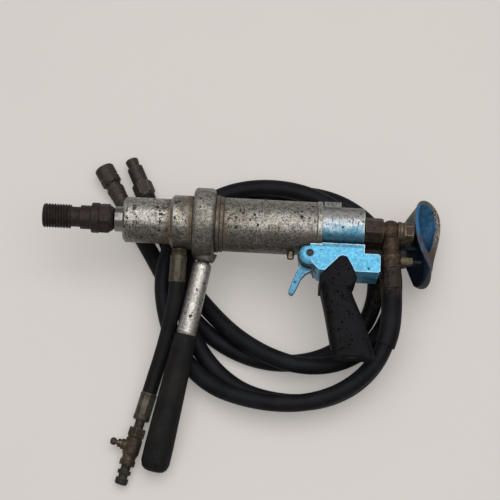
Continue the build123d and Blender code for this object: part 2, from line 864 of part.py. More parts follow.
pressure_leg = leg_plane(port_half, pressure_dip)
return_leg = leg_plane(-port_half, return_dip)
elbow_pressure = elbow(port_planes[0], pressure_leg)
elbow_return = elbow(port_planes[1], return_leg)
ferrule_pressure = hose_ferrule(pressure_leg)
ferrule_return = hose_ferrule(return_leg)
plug_along = 38.0
plug_plane = Plane(
    origin=pressure_leg.from_local_coords(Vector(0, 0, plug_along)),
    x_dir=(0, 0, 1),
    z_dir=(1, 0, 0),
)
elbow_pressure = elbow_pressure - plug_plane * bar(3.0, 4.0, 20.0)
test_plug = plug_plane * (
    bar(3.0 - running_gap, 5.0, leg_radius + 1.0)
    + bar(5.2, leg_radius + 0.6, leg_radius + 9.0)
    + hex_bar(8.0, leg_radius + 8.9, leg_radius + 15.0)
)

# Hoses, as points in (station, side, height above the floor)
pressure_points = [
    (455, -131, 62), (441, -164, 55), (416, -191, 45.5), (383, -210, 38.5),
    (345, -220, 35.5), (306, -221, 35), (268, -215, 33.5), (232, -202, 26.5), (202, -177, 18.5), (178, -145, 20.5),
    (164, -108, 29.5), (157, -69, 35), (160, -30, 36.5), (174, 7, 36.5), (198, 40, 36.5), (230, 63, 36.5),
    (268, 75, 36), (307, 77, 35.5), (344, 71, 34), (379, 57, 29.5), (409, 34, 22), (431, 3, 15),
    (442, -34, 11.5), (440, -72, 11.5), (426, -107, 11.5), (400, -135, 11.5), (367, -154, 11.5), (329, -162, 11.5),
    (291, -160, 11.5), (254, -148, 11.5), (220, -127, 11.5), (190, -98, 11.5), (165, -64, 11.5), (145, -30, 11.5),
    (128, -3, 12.5), (116, 16, 13.6), (105, 34, 14),
]
return_points = [
    (455, -131, 36.5), (441, -163, 28.5), (416, -189, 19.5), (383, -206, 13),
    (345, -214, 11.5), (307, -212, 11.5), (272, -203, 11.5), (242, -184, 11.5), (218, -160, 16), (200, -134, 26.5),
    (188, -101, 36), (184, -66, 36.5), (187, -31, 35.5), (200, 2, 29), (222, 31, 21.5), (252, 54, 15.5), (286, 71, 12),
    (323, 79, 11.5), (360, 78, 11.5), (396, 67, 11.5), (427, 46, 11.5), (450, 17, 11.5), (464, -18, 11.5),
    (467, -56, 11.5), (459, -93, 12.5), (441, -126, 17.5), (412, -153, 25.5), (377, -168, 32.5), (339, -170, 36),
    (304, -160, 35.8), (274, -144, 32.3), (249, -125, 26.5), (225, -101, 20), (201, -73, 13.5), (180, -43, 11.5),
    (164, -14, 11.5), (150, 15, 11.5), (137, 40, 12), (126, 63, 12.6),
]


def on_line(line, distance):
    point = line.from_local_coords(Vector(0, 0, distance))
    return (point.X - tip_x, point.Y - axis_y, point.Z)


hose_start = leg_length + ferrule_length
first_run = 27.0
pressure_points = [on_line(pressure_leg, hose_start), on_line(pressure_leg, hose_start + first_run)] + pressure_points
return_points = [on_line(return_leg, hose_start), on_line(return_leg, hose_start + first_run)] + return_points
hose_pressure = hose("hose_pressure", pressure_points, hose_diameter)
hose_return = hose("hose_return", return_points, hose_diameter)
# least gap of each hose to itself, over stretches that are not neighbours, and between the two
apart = 40
pressure_line = samples(pressure_points)
return_line = samples(return_points)
for name, line in (("hose_pressure", pressure_line), ("hose_return", return_line)):
    gap = min(dist(line[i], line[j]) for i in range(len(line)) for j in range(i + apart, len(line)))
    print(name, "least gap to itself", round(gap - hose_diameter, 2))
gap = min(dist(here, there) for here in pressure_line for there in return_line)
print("least gap between the hoses", round(gap - hose_diameter, 2))


def end_plane(points):
    last = Vector(tip_x + points[-1][0], axis_y + points[-1][1], points[-1][2])
    before = Vector(tip_x + points[-2][0], axis_y + points[-2][1], points[-2][2])
    return Plane(origin=last, x_dir=(0, 0, 1), z_dir=last - before)


# Female coupler on the pressure hose: ferrule, body, and a sleeve that slides back
coupler_plane = end_plane(pressure_points)
coupler_grip = hose_diameter / 2 + 0.65
coupler_ferrule = coupler_plane * turned([
    (0, 0),
    (0, coupler_grip - 0.9),
    (1.0, coupler_grip),
    (coupler_ferrule_length - 1.0, coupler_grip),
    (coupler_ferrule_length, coupler_grip - 0.9),
    (coupler_ferrule_length, 0),
])
sleeve_inside = coupler_bore + 1.5
neck_start = coupler_ferrule_length + 0.1
neck_end = neck_start + 15.0
collar_start = neck_end + 6.0
mouth = collar_start + 42.0
bore_depth = 22.0
coupler_body = coupler_plane * turned([
    (neck_start, 0),
    (neck_start, 8.5),
    (neck_end, 8.5),
    (collar_start, 12.0),
    (collar_start + 8.0, 12.0),
    (collar_start + 9.0, sleeve_inside),
    (mouth, sleeve_inside),
    (mouth, coupler_bore),
    (mouth - bore_depth, coupler_bore),
    (mouth - bore_depth, 0),
])
sleeve_length = 27.0
sleeve_start = mouth - sleeve_length + 0.6
coupler_sleeve = coupler_plane * turned([
    (sleeve_start, sleeve_inside + running_gap),
    (sleeve_start, coupler_radius - 1.5),
    (sleeve_start + 1.5, coupler_radius),
    (sleeve_start + 9.0, coupler_radius),
    (sleeve_start + 10.0, coupler_radius - 0.8),
    (sleeve_start + 12.0, coupler_radius - 0.8),
    (sleeve_start + 13.0, coupler_radius),
    (sleeve_start + sleeve_length - 1.5, coupler_radius),
    (sleeve_start + sleeve_length, coupler_radius - 1.5),
    (sleeve_start + sleeve_length, sleeve_inside + running_gap),
])

# Male nipple on the return hose
nipple_plane = end_plane(return_points)
nipple_grip = hose_diameter / 2 + 0.45
nipple_ferrule = nipple_plane * turned([
    (0, 0),
    (0, nipple_grip - 0.9),
    (1.0, nipple_grip),
    (nipple_ferrule_length - 1.0, nipple_grip),
    (nipple_ferrule_length, nipple_grip - 0.9),
    (nipple_ferrule_length, 0),
])
nut_start = nipple_ferrule_length + 0.1
nut_end = nut_start + 16.0
nut_corner = nipple_flats / sqrt(3) + 0.3
nut_face = nipple_flats / 2 + 0.2
nipple_hex = turned([
    (nut_start, 0),
    (nut_start, nut_face),
    (nut_start + 1.4, nut_corner),
    (nut_end - 1.4, nut_corner),
    (nut_end, nut_face),
    (nut_end, 0),
]) & hex_bar(nipple_flats, nut_start, nut_end, turn=30)
nipple_step = nut_end + 17.0
nipple_end = nipple_step + 12.5
nipple_bore = 4.0
nipple_stem = turned([
    (nut_end - 0.1, 0),
    (nut_end - 0.1, nipple_radius),
    (nipple_step - 1.0, nipple_radius),
    (nipple_step, nipple_radius - 1.0),
    (nipple_step, nipple_tip_radius - 0.75),
    (nipple_step + 5.5, nipple_tip_radius - 0.75),
    (nipple_step + 6.5, nipple_tip_radius),
    (nipple_end - 1.0, nipple_tip_radius),
    (nipple_end, nipple_tip_radius - 1.15),
    (nipple_end, nipple_bore),
    (nipple_end - 18.5, nipple_bore),
    (nipple_end - 18.5, 0),
])
nipple_body = nipple_plane * (nipple_hex + nipple_stem)

# Water line: fitting in the collar, ferrule, hose, low ferrule, valve with its stem, ring and nipple
fitting_end = collar_radius + 7.5
water_ferrule_end = fitting_end + 36.0
water_fitting = water_plane * (
    bar(inlet_radius, tail_radius + 1.0, collar_radius + 0.8)
    + hex_bar(18.0, collar_radius + 0.6, fitting_end)
)
water_ferrule_top = water_plane * turned([
    (fitting_end + 0.1, 0),
    (fitting_end + 0.1, water_ferrule_radius - 1.6),
    (fitting_end + 2.0, water_ferrule_radius),
    (water_ferrule_end - 1.0, water_ferrule_radius),
    (water_ferrule_end, water_ferrule_radius - 0.6),
    (water_ferrule_end, 0),
])
water_slope = 0.1
valve_plane = Plane(
    origin=place(150.0, -214.0, water_valve_height - axis_height),
    x_dir=(0, 0, 1),
    z_dir=(-0.238, -0.971, -water_slope),
)
water_points = [
    on_line(water_plane, water_ferrule_end),
    on_line(water_plane, water_ferrule_end + 20.0),
    (173, -121, 54),
    (168, -145, 42),
    (162, -168, 31.5),
    on_line(valve_plane, -25.0),
    on_line(valve_plane, 0.0),
]
water_hose = hose("water_hose", water_points, water_hose_diameter)
water_ferrule_low = valve_plane * turned([
    (0, 0),
    (0, water_ferrule_radius - 0.6),
    (1.0, water_ferrule_radius),
    (30.0, water_ferrule_radius),
    (32.0, 8.2),
    (36.0, 7.8),
    (36.0, 0),
])
valve_middle = 71.0
valve_stem_radius = 4.0
valve_shell = (
    bar(6.2, 36.1, 47.0)
    + hex_bar(20.0, 46.9, 58.0)
    + turned([(57.9, 0), (57.9, 8.6), (62.0, 10.6), (80.0, 10.6), (84.0, 8.8), (88.0, 8.8), (88.0, 0)])
)
stem_plane = Plane(
    origin=valve_plane.from_local_coords(Vector(0, 0, valve_middle)),
    x_dir=(0, 0, 1),
    z_dir=(-0.971, 0.238, 0),
)
valve_neck = stem_plane * (bar(6.8, 4.0, 14.5) - bar(valve_stem_radius + running_gap, 0, 20))
water_valve_body = (
    valve_plane * valve_shell - stem_plane * bar(valve_stem_radius + running_gap, 1.0, 20) + valve_neck
)
water_valve_stem = stem_plane * turned([
    (1.5, 0),
    (1.5, valve_stem_radius),
    (14.8, valve_stem_radius),
    (14.8, 5.4),
    (19.0, 5.4),
    (20.0, 3.2),
    (22.0, 3.2),
    (23.0, 4.6),
    (25.5, 5.0),
    (28.0, 4.2),
    (29.4, 2.0),
    (29.4, 0),
]) - stem_plane * Pos(0, 0, 17.0) * Box(20, 1.2, 2.4)
water_valve_ring = valve_plane * turned([
    (88.1, 0),
    (88.1, 9.4),
    (89.0, 10.0),
    (95.0, 10.0),
    (96.0, 9.4),
    (96.0, 0),
])
water_nipple = valve_plane * turned([
    (96.1, 0),
    (96.1, 6.2),
    (102.0, 6.2),
    (102.5, 8.6),
    (107.0, 8.6),
    (108.0, 6.0),
    (112.0, 6.0),
    (112.5, 8.2),
    (119.0, 8.2),
    (121.0, 6.4),
    (121.0, 3.4),
    (98.0, 3.4),
    (98.0, 0),
])

# Plate bracket: a foot on the rear step, a strap between the two legs, and a cross tube for the pivot
strap_low = strap_offset - strap_thickness / 2
strap_high = strap_offset + strap_thickness / 2
foot_top = block_step + 4.2
strap_middle = -25.7
bracket_foot = side_plate(
    [
        (valve_end + 1.0, block_step + 0.1),
        (block_end - 2.5, block_step + 0.1),
        (block_end - 2.5, foot_top),
        (valve_end + 1.0, foot_top),
    ],
    strap_low,
    foot_screw_up + 5.5,
)
bracket_strap = side_plate(
    [
        (valve_end + 1.0, block_step + 0.1),
        (block_end - 2.5, block_step + 0.1),
        (block_end + 1.5, strap_middle - 4.6),
        (pivot_station, strap_middle - 4.6),
        (pivot_station, strap_middle + 4.6),
        (valve_end + 1.0, strap_middle + 4.6),
    ],
    strap_low,
    strap_high,
)
pivot_plane = Plane(origin=place(pivot_station, pivot_side, pivot_up), x_dir=(1, 0, 0), z_dir=(0, 1, 0))
pivot_radius = 3.5
tube_half = 7.0
bracket_tube = pivot_plane * bar(6.0, -tube_half, tube_half)
plate_bracket = bracket_foot + bracket_strap + bracket_tube
plate_bracket = plate_bracket - pivot_plane * bar(pivot_radius + running_gap, -30, 30)
bracket_screws = []
for station in foot_screw_stations:
    hole = step_plane * Pos(station, 0, 0) * bar(foot_screw_radius + running_gap, -1, 10)
    plate_bracket = plate_bracket - hole
    screw = bar(foot_screw_radius - running_gap, -8.0, 4.3) + bar(3.4, 4.25, 7.2)
    bracket_screws.append(step_plane * Pos(station, 0, 0) * screw)
ear_thickness = 3.5
ear_start = tube_half + seat_gap
plate_pivot = pivot_plane * (
    bar(pivot_radius, -ear_start - ear_thickness - 1.0, ear_start + ear_thickness)
    + bar(6.0, -ear_start - ear_thickness - 4.0, -ear_start - ear_thickness - 0.1)
)

# Breast plate: an oval pan with a flat base and sloping walls, leaning up and turned a little, with two
# ears at its back
plate_normal = Vector(
    cos(radians(plate_lean)) * cos(radians(plate_turn)),
    cos(radians(plate_lean)) * sin(radians(plate_turn)),
    sin(radians(plate_lean)),
)
plate_plane = Plane(
    origin=place(rim_station, rim_side, rim_up) - plate_normal * plate_depth,
    x_dir=(-sin(radians(plate_turn)), cos(radians(plate_turn)), 0),
    z_dir=plate_normal,
)
wall_bulge = 0.62


def oval(high, inset):
    # the wall swells between base and rim
    spread = (high / plate_depth) ** wall_bulge
    tall = base_half_height + (rim_half_height - base_half_height) * spread
    wide = base_half_width + (rim_half_width - base_half_width) * spread
    return Ellipse(tall - inset, wide - inset)


levels = (0.0, 0.25 * plate_depth, 0.6 * plate_depth, plate_depth)
pan_outside = loft([Pos(0, 0, level) * oval(level, 0) for level in levels])
inside_levels = [(plate_thickness, 0.8 * plate_thickness, 1.0), (0.45 * plate_depth, plate_thickness, 7.0)]
pan_inside = loft(
    [Pos(0, 0, level) * oval(wall, inset) for level, inset, wall in inside_levels]
    + [Pos(0, 0, plate_depth + 1.0) * oval(plate_depth, 0.8 * plate_thickness)]
)
breast_plate = plate_plane * (pan_outside - pan_inside)
for end in (-1, 1):
    ear = Pos(0, 0, end * (ear_start + ear_thickness / 2)) * (
        Cylinder(7.0, ear_thickness) + Pos(10, 0, 0) * Box(20, 14, ear_thickness)
    )
    breast_plate = breast_plate + (pivot_plane * ear - plate_plane * pan_outside)
breast_plate = breast_plate - pivot_plane * bar(pivot_radius + 2 * running_gap, -30, 30)

nodes = {
    "thread_adapter": [thread_adapter],
    "output_spindle": [output_spindle],
    "shaft_seal": [shaft_seal],
    "front_bearing": [front_bearing],
    "rear_bearing": [rear_bearing],
    "water_seals": water_seals,
    "front_housing": [front_housing],
    "water_collar": [water_collar],
    "handle_clamp_ring": [handle_clamp_ring],
    "handle_stud": [handle_stud],
    "handle_tube": [handle_tube],
    "handle_rubber": [handle_rubber],
    "lock_rings": lock_rings,
    "motor_housing": [motor_housing],
    "bleed_screw": [bleed_screw],
    "gerotor_inner": [gerotor_inner],
    "gerotor_outer": [gerotor_outer],
    "port_plate": [port_plate],
    "rear_band": [rear_band],
    "valve_housing": [valve_housing],
    "pistol_grip": [pistol_grip],
    "grip_screw": [grip_screw],
    "trigger": [trigger],
    "trigger_pin": [trigger_pin],
    "trigger_spring": [trigger_spring],
    "valve_spool": [valve_spool],
    "spool_spring": [spool_spring],
    "spool_plug": [spool_plug],
    "port_adapters": port_adapters,
    "elbow_pressure": [elbow_pressure],
    "elbow_return": [elbow_return],
    "elbow_washers": elbow_washers,
    "elbow_bolts": elbow_bolts,
    "test_plug": [test_plug],
    "ferrule_pressure": [ferrule_pressure],
    "ferrule_return": [ferrule_return],
    "hose_pressure": [hose_pressure],
    "hose_return": [hose_return],
    "coupler_ferrule": [coupler_ferrule],
    "coupler_body": [coupler_body],
    "coupler_sleeve": [coupler_sleeve],
    "nipple_ferrule": [nipple_ferrule],
    "nipple_body": [nipple_body],
    "water_fitting": [water_fitting],
    "water_ferrule_top": [water_ferrule_top],
    "water_hose": [water_hose],
    "water_ferrule_low": [water_ferrule_low],
    "water_valve_body": [water_valve_body],
    "water_valve_stem": [water_valve_stem],
    "water_valve_ring": [water_valve_ring],
    "water_nipple": [water_nipple],
    "plate_bracket": [plate_bracket],
    "bracket_screws": bracket_screws,
    "plate_pivot": [plate_pivot],
    "breast_plate": [breast_plate],
}

os.makedirs("parts", exist_ok=True)
for name, shapes in nodes.items():
    solids = [solid for shape in shapes for solid in shape.solids()]
    export_step(Compound(children=solids) if len(solids) > 1 else solids[0], f"parts/{name}.step")
    print(name, len(solids), "solids", round(sum(solid.volume for solid in solids) / 1000, 2), "cm3")
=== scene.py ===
import json
import math

import bmesh
import bpy
import numpy as np
from mathutils import Matrix


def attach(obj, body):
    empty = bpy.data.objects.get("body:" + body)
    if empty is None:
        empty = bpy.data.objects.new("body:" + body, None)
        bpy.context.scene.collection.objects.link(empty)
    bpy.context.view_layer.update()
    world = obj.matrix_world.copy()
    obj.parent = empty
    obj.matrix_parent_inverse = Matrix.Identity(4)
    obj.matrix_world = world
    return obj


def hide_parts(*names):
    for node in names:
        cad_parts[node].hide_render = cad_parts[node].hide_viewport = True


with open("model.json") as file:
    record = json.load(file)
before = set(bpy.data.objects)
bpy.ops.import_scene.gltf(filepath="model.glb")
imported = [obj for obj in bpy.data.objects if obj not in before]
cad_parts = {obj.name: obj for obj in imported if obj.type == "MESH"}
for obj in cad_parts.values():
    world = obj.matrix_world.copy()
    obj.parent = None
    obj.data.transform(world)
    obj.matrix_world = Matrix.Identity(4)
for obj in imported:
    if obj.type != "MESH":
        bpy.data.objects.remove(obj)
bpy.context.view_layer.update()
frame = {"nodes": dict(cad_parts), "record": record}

cad = frame["nodes"]
slotOf = {part["node"]: part["material_slot"] for part in frame["record"]["subparts"]}

# where the tool lies: thread tip and tool axis, metres
lie = {"tipX": -0.26073, "axisY": 0.13439, "axisZ": 0.088}


def spot(station, side, up):
    # millimetres along the axis from the thread tip, sideways and up from it, to frame metres
    return np.array([lie["tipX"] + station / 1000, lie["axisY"] + side / 1000, lie["axisZ"] + up / 1000])


class Value:
    # a shader socket that takes part in sums
    def __init__(self, shade, socket):
        self.shade, self.socket = shade, socket

    def math(self, operation, other, turned=False, clamp=False):
        pair = (other, self) if turned else (self, other)
        settings = {"operation": operation, "use_clamp": clamp}
        return self.shade.add("ShaderNodeMath", settings, dict(enumerate(pair)))

    def __add__(self, other):
        return self.math("ADD", other)

    def __sub__(self, other):
        return self.math("SUBTRACT", other)

    def __rsub__(self, other):
        return self.math("SUBTRACT", other, True)

    def __mul__(self, other):
        return self.math("MULTIPLY", other)

    def __truediv__(self, other):
        return self.math("DIVIDE", other)

    def __rtruediv__(self, other):
        return self.math("DIVIDE", other, True)

    __radd__ = __add__
    __rmul__ = __mul__

    def clip(self):
        return self.math("ADD", 0.0, clamp=True)

    def step(self, low, high):
        # smooth 0 to 1 from low to high, or 1 to 0 where low is the larger
        if low > high:
            return 1.0 - self.step(high, low)
        ends = {"Value": self, "From Min": low, "From Max": high}
        return self.shade.add("ShaderNodeMapRange", {"interpolation_type": "SMOOTHSTEP"}, ends)


class Shade:
    # one material, built as sums of textures
    def __init__(self, name):
        self.material = bpy.data.materials.new(name)
        self.material.use_nodes = True
        self.tree = self.material.node_tree
        self.base = self.tree.nodes["Principled BSDF"]
        self.place = self.add("ShaderNodeTexCoord", out="Object")

    def add(self, kind, settings=None, sockets=None, out=0):
        node = self.tree.nodes.new(kind)
        for key, value in (settings or {}).items():
            setattr(node, key, value)
        for key, value in (sockets or {}).items():
            self.put(node.inputs[key], value)
        return Value(self, node.outputs[out])

    def put(self, socket, value):
        if isinstance(value, Value):
            self.tree.links.new(value.socket, socket)
        elif socket.type == "RGBA":
            socket.default_value = (*value, 1.0)
        else:
            socket.default_value = value

    def along(self, letter):
        return self.add("ShaderNodeSeparateXYZ", sockets={0: self.place}, out=letter)

    def reach(self, letter, start, end, shift=None):
        # smooth 0 to 1 between two places on the tool's X, Y or Z, millimetres; shift makes it ragged
        axis = "XYZ".index(letter)
        low, high = [spot(place, place, place)[axis] for place in (start, end)]
        where = self.along(letter) if shift is None else self.along(letter) + shift
        return where.step(low, high)

    def own(self, name):
        # a value painted on the mesh's own points
        return self.add("ShaderNodeAttribute", {"attribute_name": name}, out="Fac")

    def noise(self, scale, detail=4.0, rough=0.55, at=None):
        sockets = {"Vector": at or self.place, "Scale": scale, "Detail": detail, "Roughness": rough}
        return self.add("ShaderNodeTexNoise", sockets=sockets)

    def vector(self, operation, sockets, out=0):
        return self.add("ShaderNodeVectorMath", {"operation": operation}, sockets, out)

    def stretch(self, x, y, z):
        # the place with each axis scaled, for streaks
        return self.vector("MULTIPLY", {0: self.place, 1: (x, y, z)})

    def warp(self, scale, amount):
        # the place pushed about by a noise
        sockets = {"Vector": self.place, "Scale": scale, "Detail": 3.0}
        wander = self.add("ShaderNodeTexNoise", sockets=sockets, out="Color")
        centred = self.vector("SUBTRACT", {0: wander, 1: (0.5, 0.5, 0.5)})
        moved = self.vector("SCALE", {0: centred, "Scale": amount})
        return self.vector("ADD", {0: self.place, 1: moved})

    def pits(self, scale, share, wide=0.42, wander=0.0018, gather=None):
        # cells of which a share hold a ragged hole, deeper in the middle; gather thins them out
        place = self.warp(420.0, wander)
        cell = self.add("ShaderNodeTexVoronoi", sockets={"Vector": place, "Scale": scale})
        tint = Value(self, cell.socket.node.outputs["Color"])
        chance = self.add("ShaderNodeSeparateColor", sockets={0: tint})
        reach = ((chance - (1.0 - share)) / share).clip() * wide
        if gather is not None:
            reach = reach * gather
        return (reach - cell).step(0.0, 0.12)

    def edges(self, radius):
        # how far the rounded normal leans from the true one, 0 on flats
        rounded = self.add("ShaderNodeBevel", {"samples": 4}, {"Radius": radius})
        true = self.add("ShaderNodeNewGeometry", out="Normal")
        same = self.vector("DOT_PRODUCT", {0: rounded, 1: true}, "Value")
        return (1.0 - same).clip()

    def mix(self, factor, first, second):
        return self.add("ShaderNodeMix", {"data_type": "RGBA"}, {0: factor, 6: first, 7: second}, 2)

    def bump(self, height, depth, strength):
        sockets = {"Height": height, "Distance": depth, "Strength": strength}
        return self.add("ShaderNodeBump", sockets=sockets)

    def done(self, **sockets):
        names = {"color": "Base Color", "rough": "Roughness", "metal": "Metallic", "normal": "Normal",
                 "gloss": "Specular IOR Level", "glow": "Emission Color", "glowLevel": "Emission Strength"}
        for key, value in sockets.items():
            self.put(self.base.inputs[names[key]], value)
        return self.material


# finishes

def castMetal(name, look):
    # bare casting: cloudy stain, fine grain, ragged black pits in patches, painted shade on the near
    # flank, rubbed edges
    s = Shade(name)
    cloud = s.noise(look["cloud"], 5.0, 0.62)
    blot = s.noise(look["blot"], 5.0, 0.7)
    speck = s.noise(look["speck"], 5.0, 0.8)
    grain = speck.step(0.42, 0.58)
    patch = s.noise(look["patch"], 4.0, 0.65).step(0.45, 0.58)
    hole = s.pits(look["pitScale"], look["pitShare"], 0.66, 0.005, patch)
    thin = s.noise(80.0, 4.0).step(0.42, 0.58)
    small = s.pits(look["smallScale"], look["smallShare"], 0.6, 0.0026, thin)
    rub = s.edges(look["edgeWide"]).step(0.02, 0.2)
    dirt = (cloud.step(0.4, 0.68) * look["stainLevel"] + look["zone"](s)).clip()
    shine = s.mix(grain, look["dim"], look["bright"])
    shine = s.mix(blot.step(0.48, 0.66) * look["blotLevel"], shine, look["dark"])
    # painted shade: the near flank, which faces down towards the floor, is mixed to darker tones
    shadedFlank = s.reach("Y", *look["shadedFlank"]) * look["shadedFlankLevel"]
    dull = s.mix(grain, look["shadeDark"], look["shadeLight"])
    worn = s.mix((shadedFlank * cloud).clip(), shine, dull)
    worn = s.mix(dirt, worn, look["stain"])
    worn = s.mix(rub * 0.6, worn, look["bright"])
    black = (hole + small * 0.8).clip()
    color = s.mix(black, worn, look["pit"])
    rough = speck * 0.2 + blot * 0.18 + look["rough"] + dirt * 0.16 + black * 0.2
    height = speck * 0.3 + blot * 0.5 - hole * 1.3 - small * 0.6
    metal = (1.0 - dirt * 0.5 - black * 0.8).clip()
    return s.done(color=color, rough=rough.clip(), metal=metal, normal=s.bump(height, look["depth"], 0.75))


def greaseBand(start, full, end, level):
    # old brown grease between two stations along the axis, ragged at its edges
    def zone(s):
        shift = (s.noise(90.0, 4.0) - 0.5) * 0.014
        return s.reach("X", start, full, shift) * s.reach("X", end + 3, end, shift) * level
    return zone


def clean(s):
    # nothing on the surface: a plain 0 as a value
    return s.add("ShaderNodeMath", sockets={0: 0.0, 1: 0.0})


castLook = {
    "bright": (0.5, 0.475, 0.435), "dim": (0.17, 0.158, 0.14), "dark": (0.075, 0.067, 0.057),
    "stain": (0.1, 0.074, 0.045), "pit": (0.011, 0.009, 0.007), "shadeDark": (0.034, 0.031, 0.028),
    "shadeLight": (0.145, 0.135, 0.121), "shadedFlank": (-6, -27), "shadedFlankLevel": 1.6, "stainLevel": 0.45,
    "blotLevel": 0.75, "cloud": 34.0, "blot": 150.0, "speck": 480.0, "patch": 48.0, "pitScale": 215.0,
    "pitShare": 0.6, "smallScale": 400.0, "smallShare": 0.5, "edgeWide": 0.0014, "rough": 0.2,
    "depth": 0.0009, "zone": clean,
}
castings = {
    "front_cast": {"zone": greaseBand(154, 165, 172, 0.95), "pitShare": 0.85, "patch": 40.0,
        "stainLevel": 0.3, "bright": (0.5, 0.478, 0.442), "dim": (0.165, 0.152, 0.134)},
    "collar_cast": {"zone": greaseBand(186, 193, 198, 0.8), "pitShare": 0.65, "stainLevel": 0.7,
        "dim": (0.15, 0.135, 0.112)},
    "ring_cast": {"bright": (0.42, 0.4, 0.365), "dim": (0.16, 0.148, 0.13), "stainLevel": 0.5, "rough": 0.3,
        "pitShare": 0.3, "smallShare": 0.75, "depth": 0.001},
    "lock_ring": {"bright": (0.24, 0.21, 0.17), "dim": (0.08, 0.064, 0.048), "stainLevel": 0.9,
        "pitShare": 0.3, "rough": 0.34},
    "motor_cast": {"zone": greaseBand(226, 230, 236, 0.6), "smallShare": 0.7, "stainLevel": 0.5,
        "rough": 0.26, "bright": (0.41, 0.388, 0.35), "dim": (0.125, 0.115, 0.1)},
    "band_metal": {"bright": (0.5, 0.49, 0.47), "stainLevel": 0.3, "pitShare": 0.1},
    "handle_metal": {"bright": (0.6, 0.575, 0.53), "dim": (0.26, 0.245, 0.22), "stainLevel": 0.15,
        "shadedFlankLevel": 0.0, "rough": 0.24, "pitShare": 0.25, "smallShare": 0.4, "blotLevel": 0.4},
}


def rustySteel(name, look):
    # plated or bare steel gone brown: rust bloom, pale worn edges, gritty skin
    s = Shade(name)
    cloud = s.noise(look["cloud"], 5.0, 0.6)
    bloom = s.noise(look["bloom"], 5.0, 0.7)
    grit = s.noise(look["grit"], 3.0, 0.7)
    hole = s.pits(look["pitScale"], look["pitShare"])
    rub = s.edges(look["edgeWide"]).step(0.02, 0.16) * s.noise(160.0, 3.0).step(0.3, 0.56)
    color = s.mix(bloom.step(0.4, 0.65), look["base"], look["rust"])
    color = s.mix(cloud.step(0.5, 0.7) * look["plateLevel"], color, look["plate"])
    color = s.mix(rub * look["rubLevel"], color, look["edge"])
    color = s.mix(hole * 0.8, color, look["pit"])
    rough = bloom * 0.25 + look["rough"] + grit * 0.12 - rub * 0.15
    height = bloom * 0.5 + grit * 0.3 - hole * 0.9
    metal = (look["metal"] + rub * 0.4 - bloom.step(0.4, 0.7) * 0.35).clip()
    normal = s.bump(height, look["depth"], 0.7)
    return s.done(color=color, rough=rough.clip(), metal=metal, normal=normal, gloss=look["gloss"])


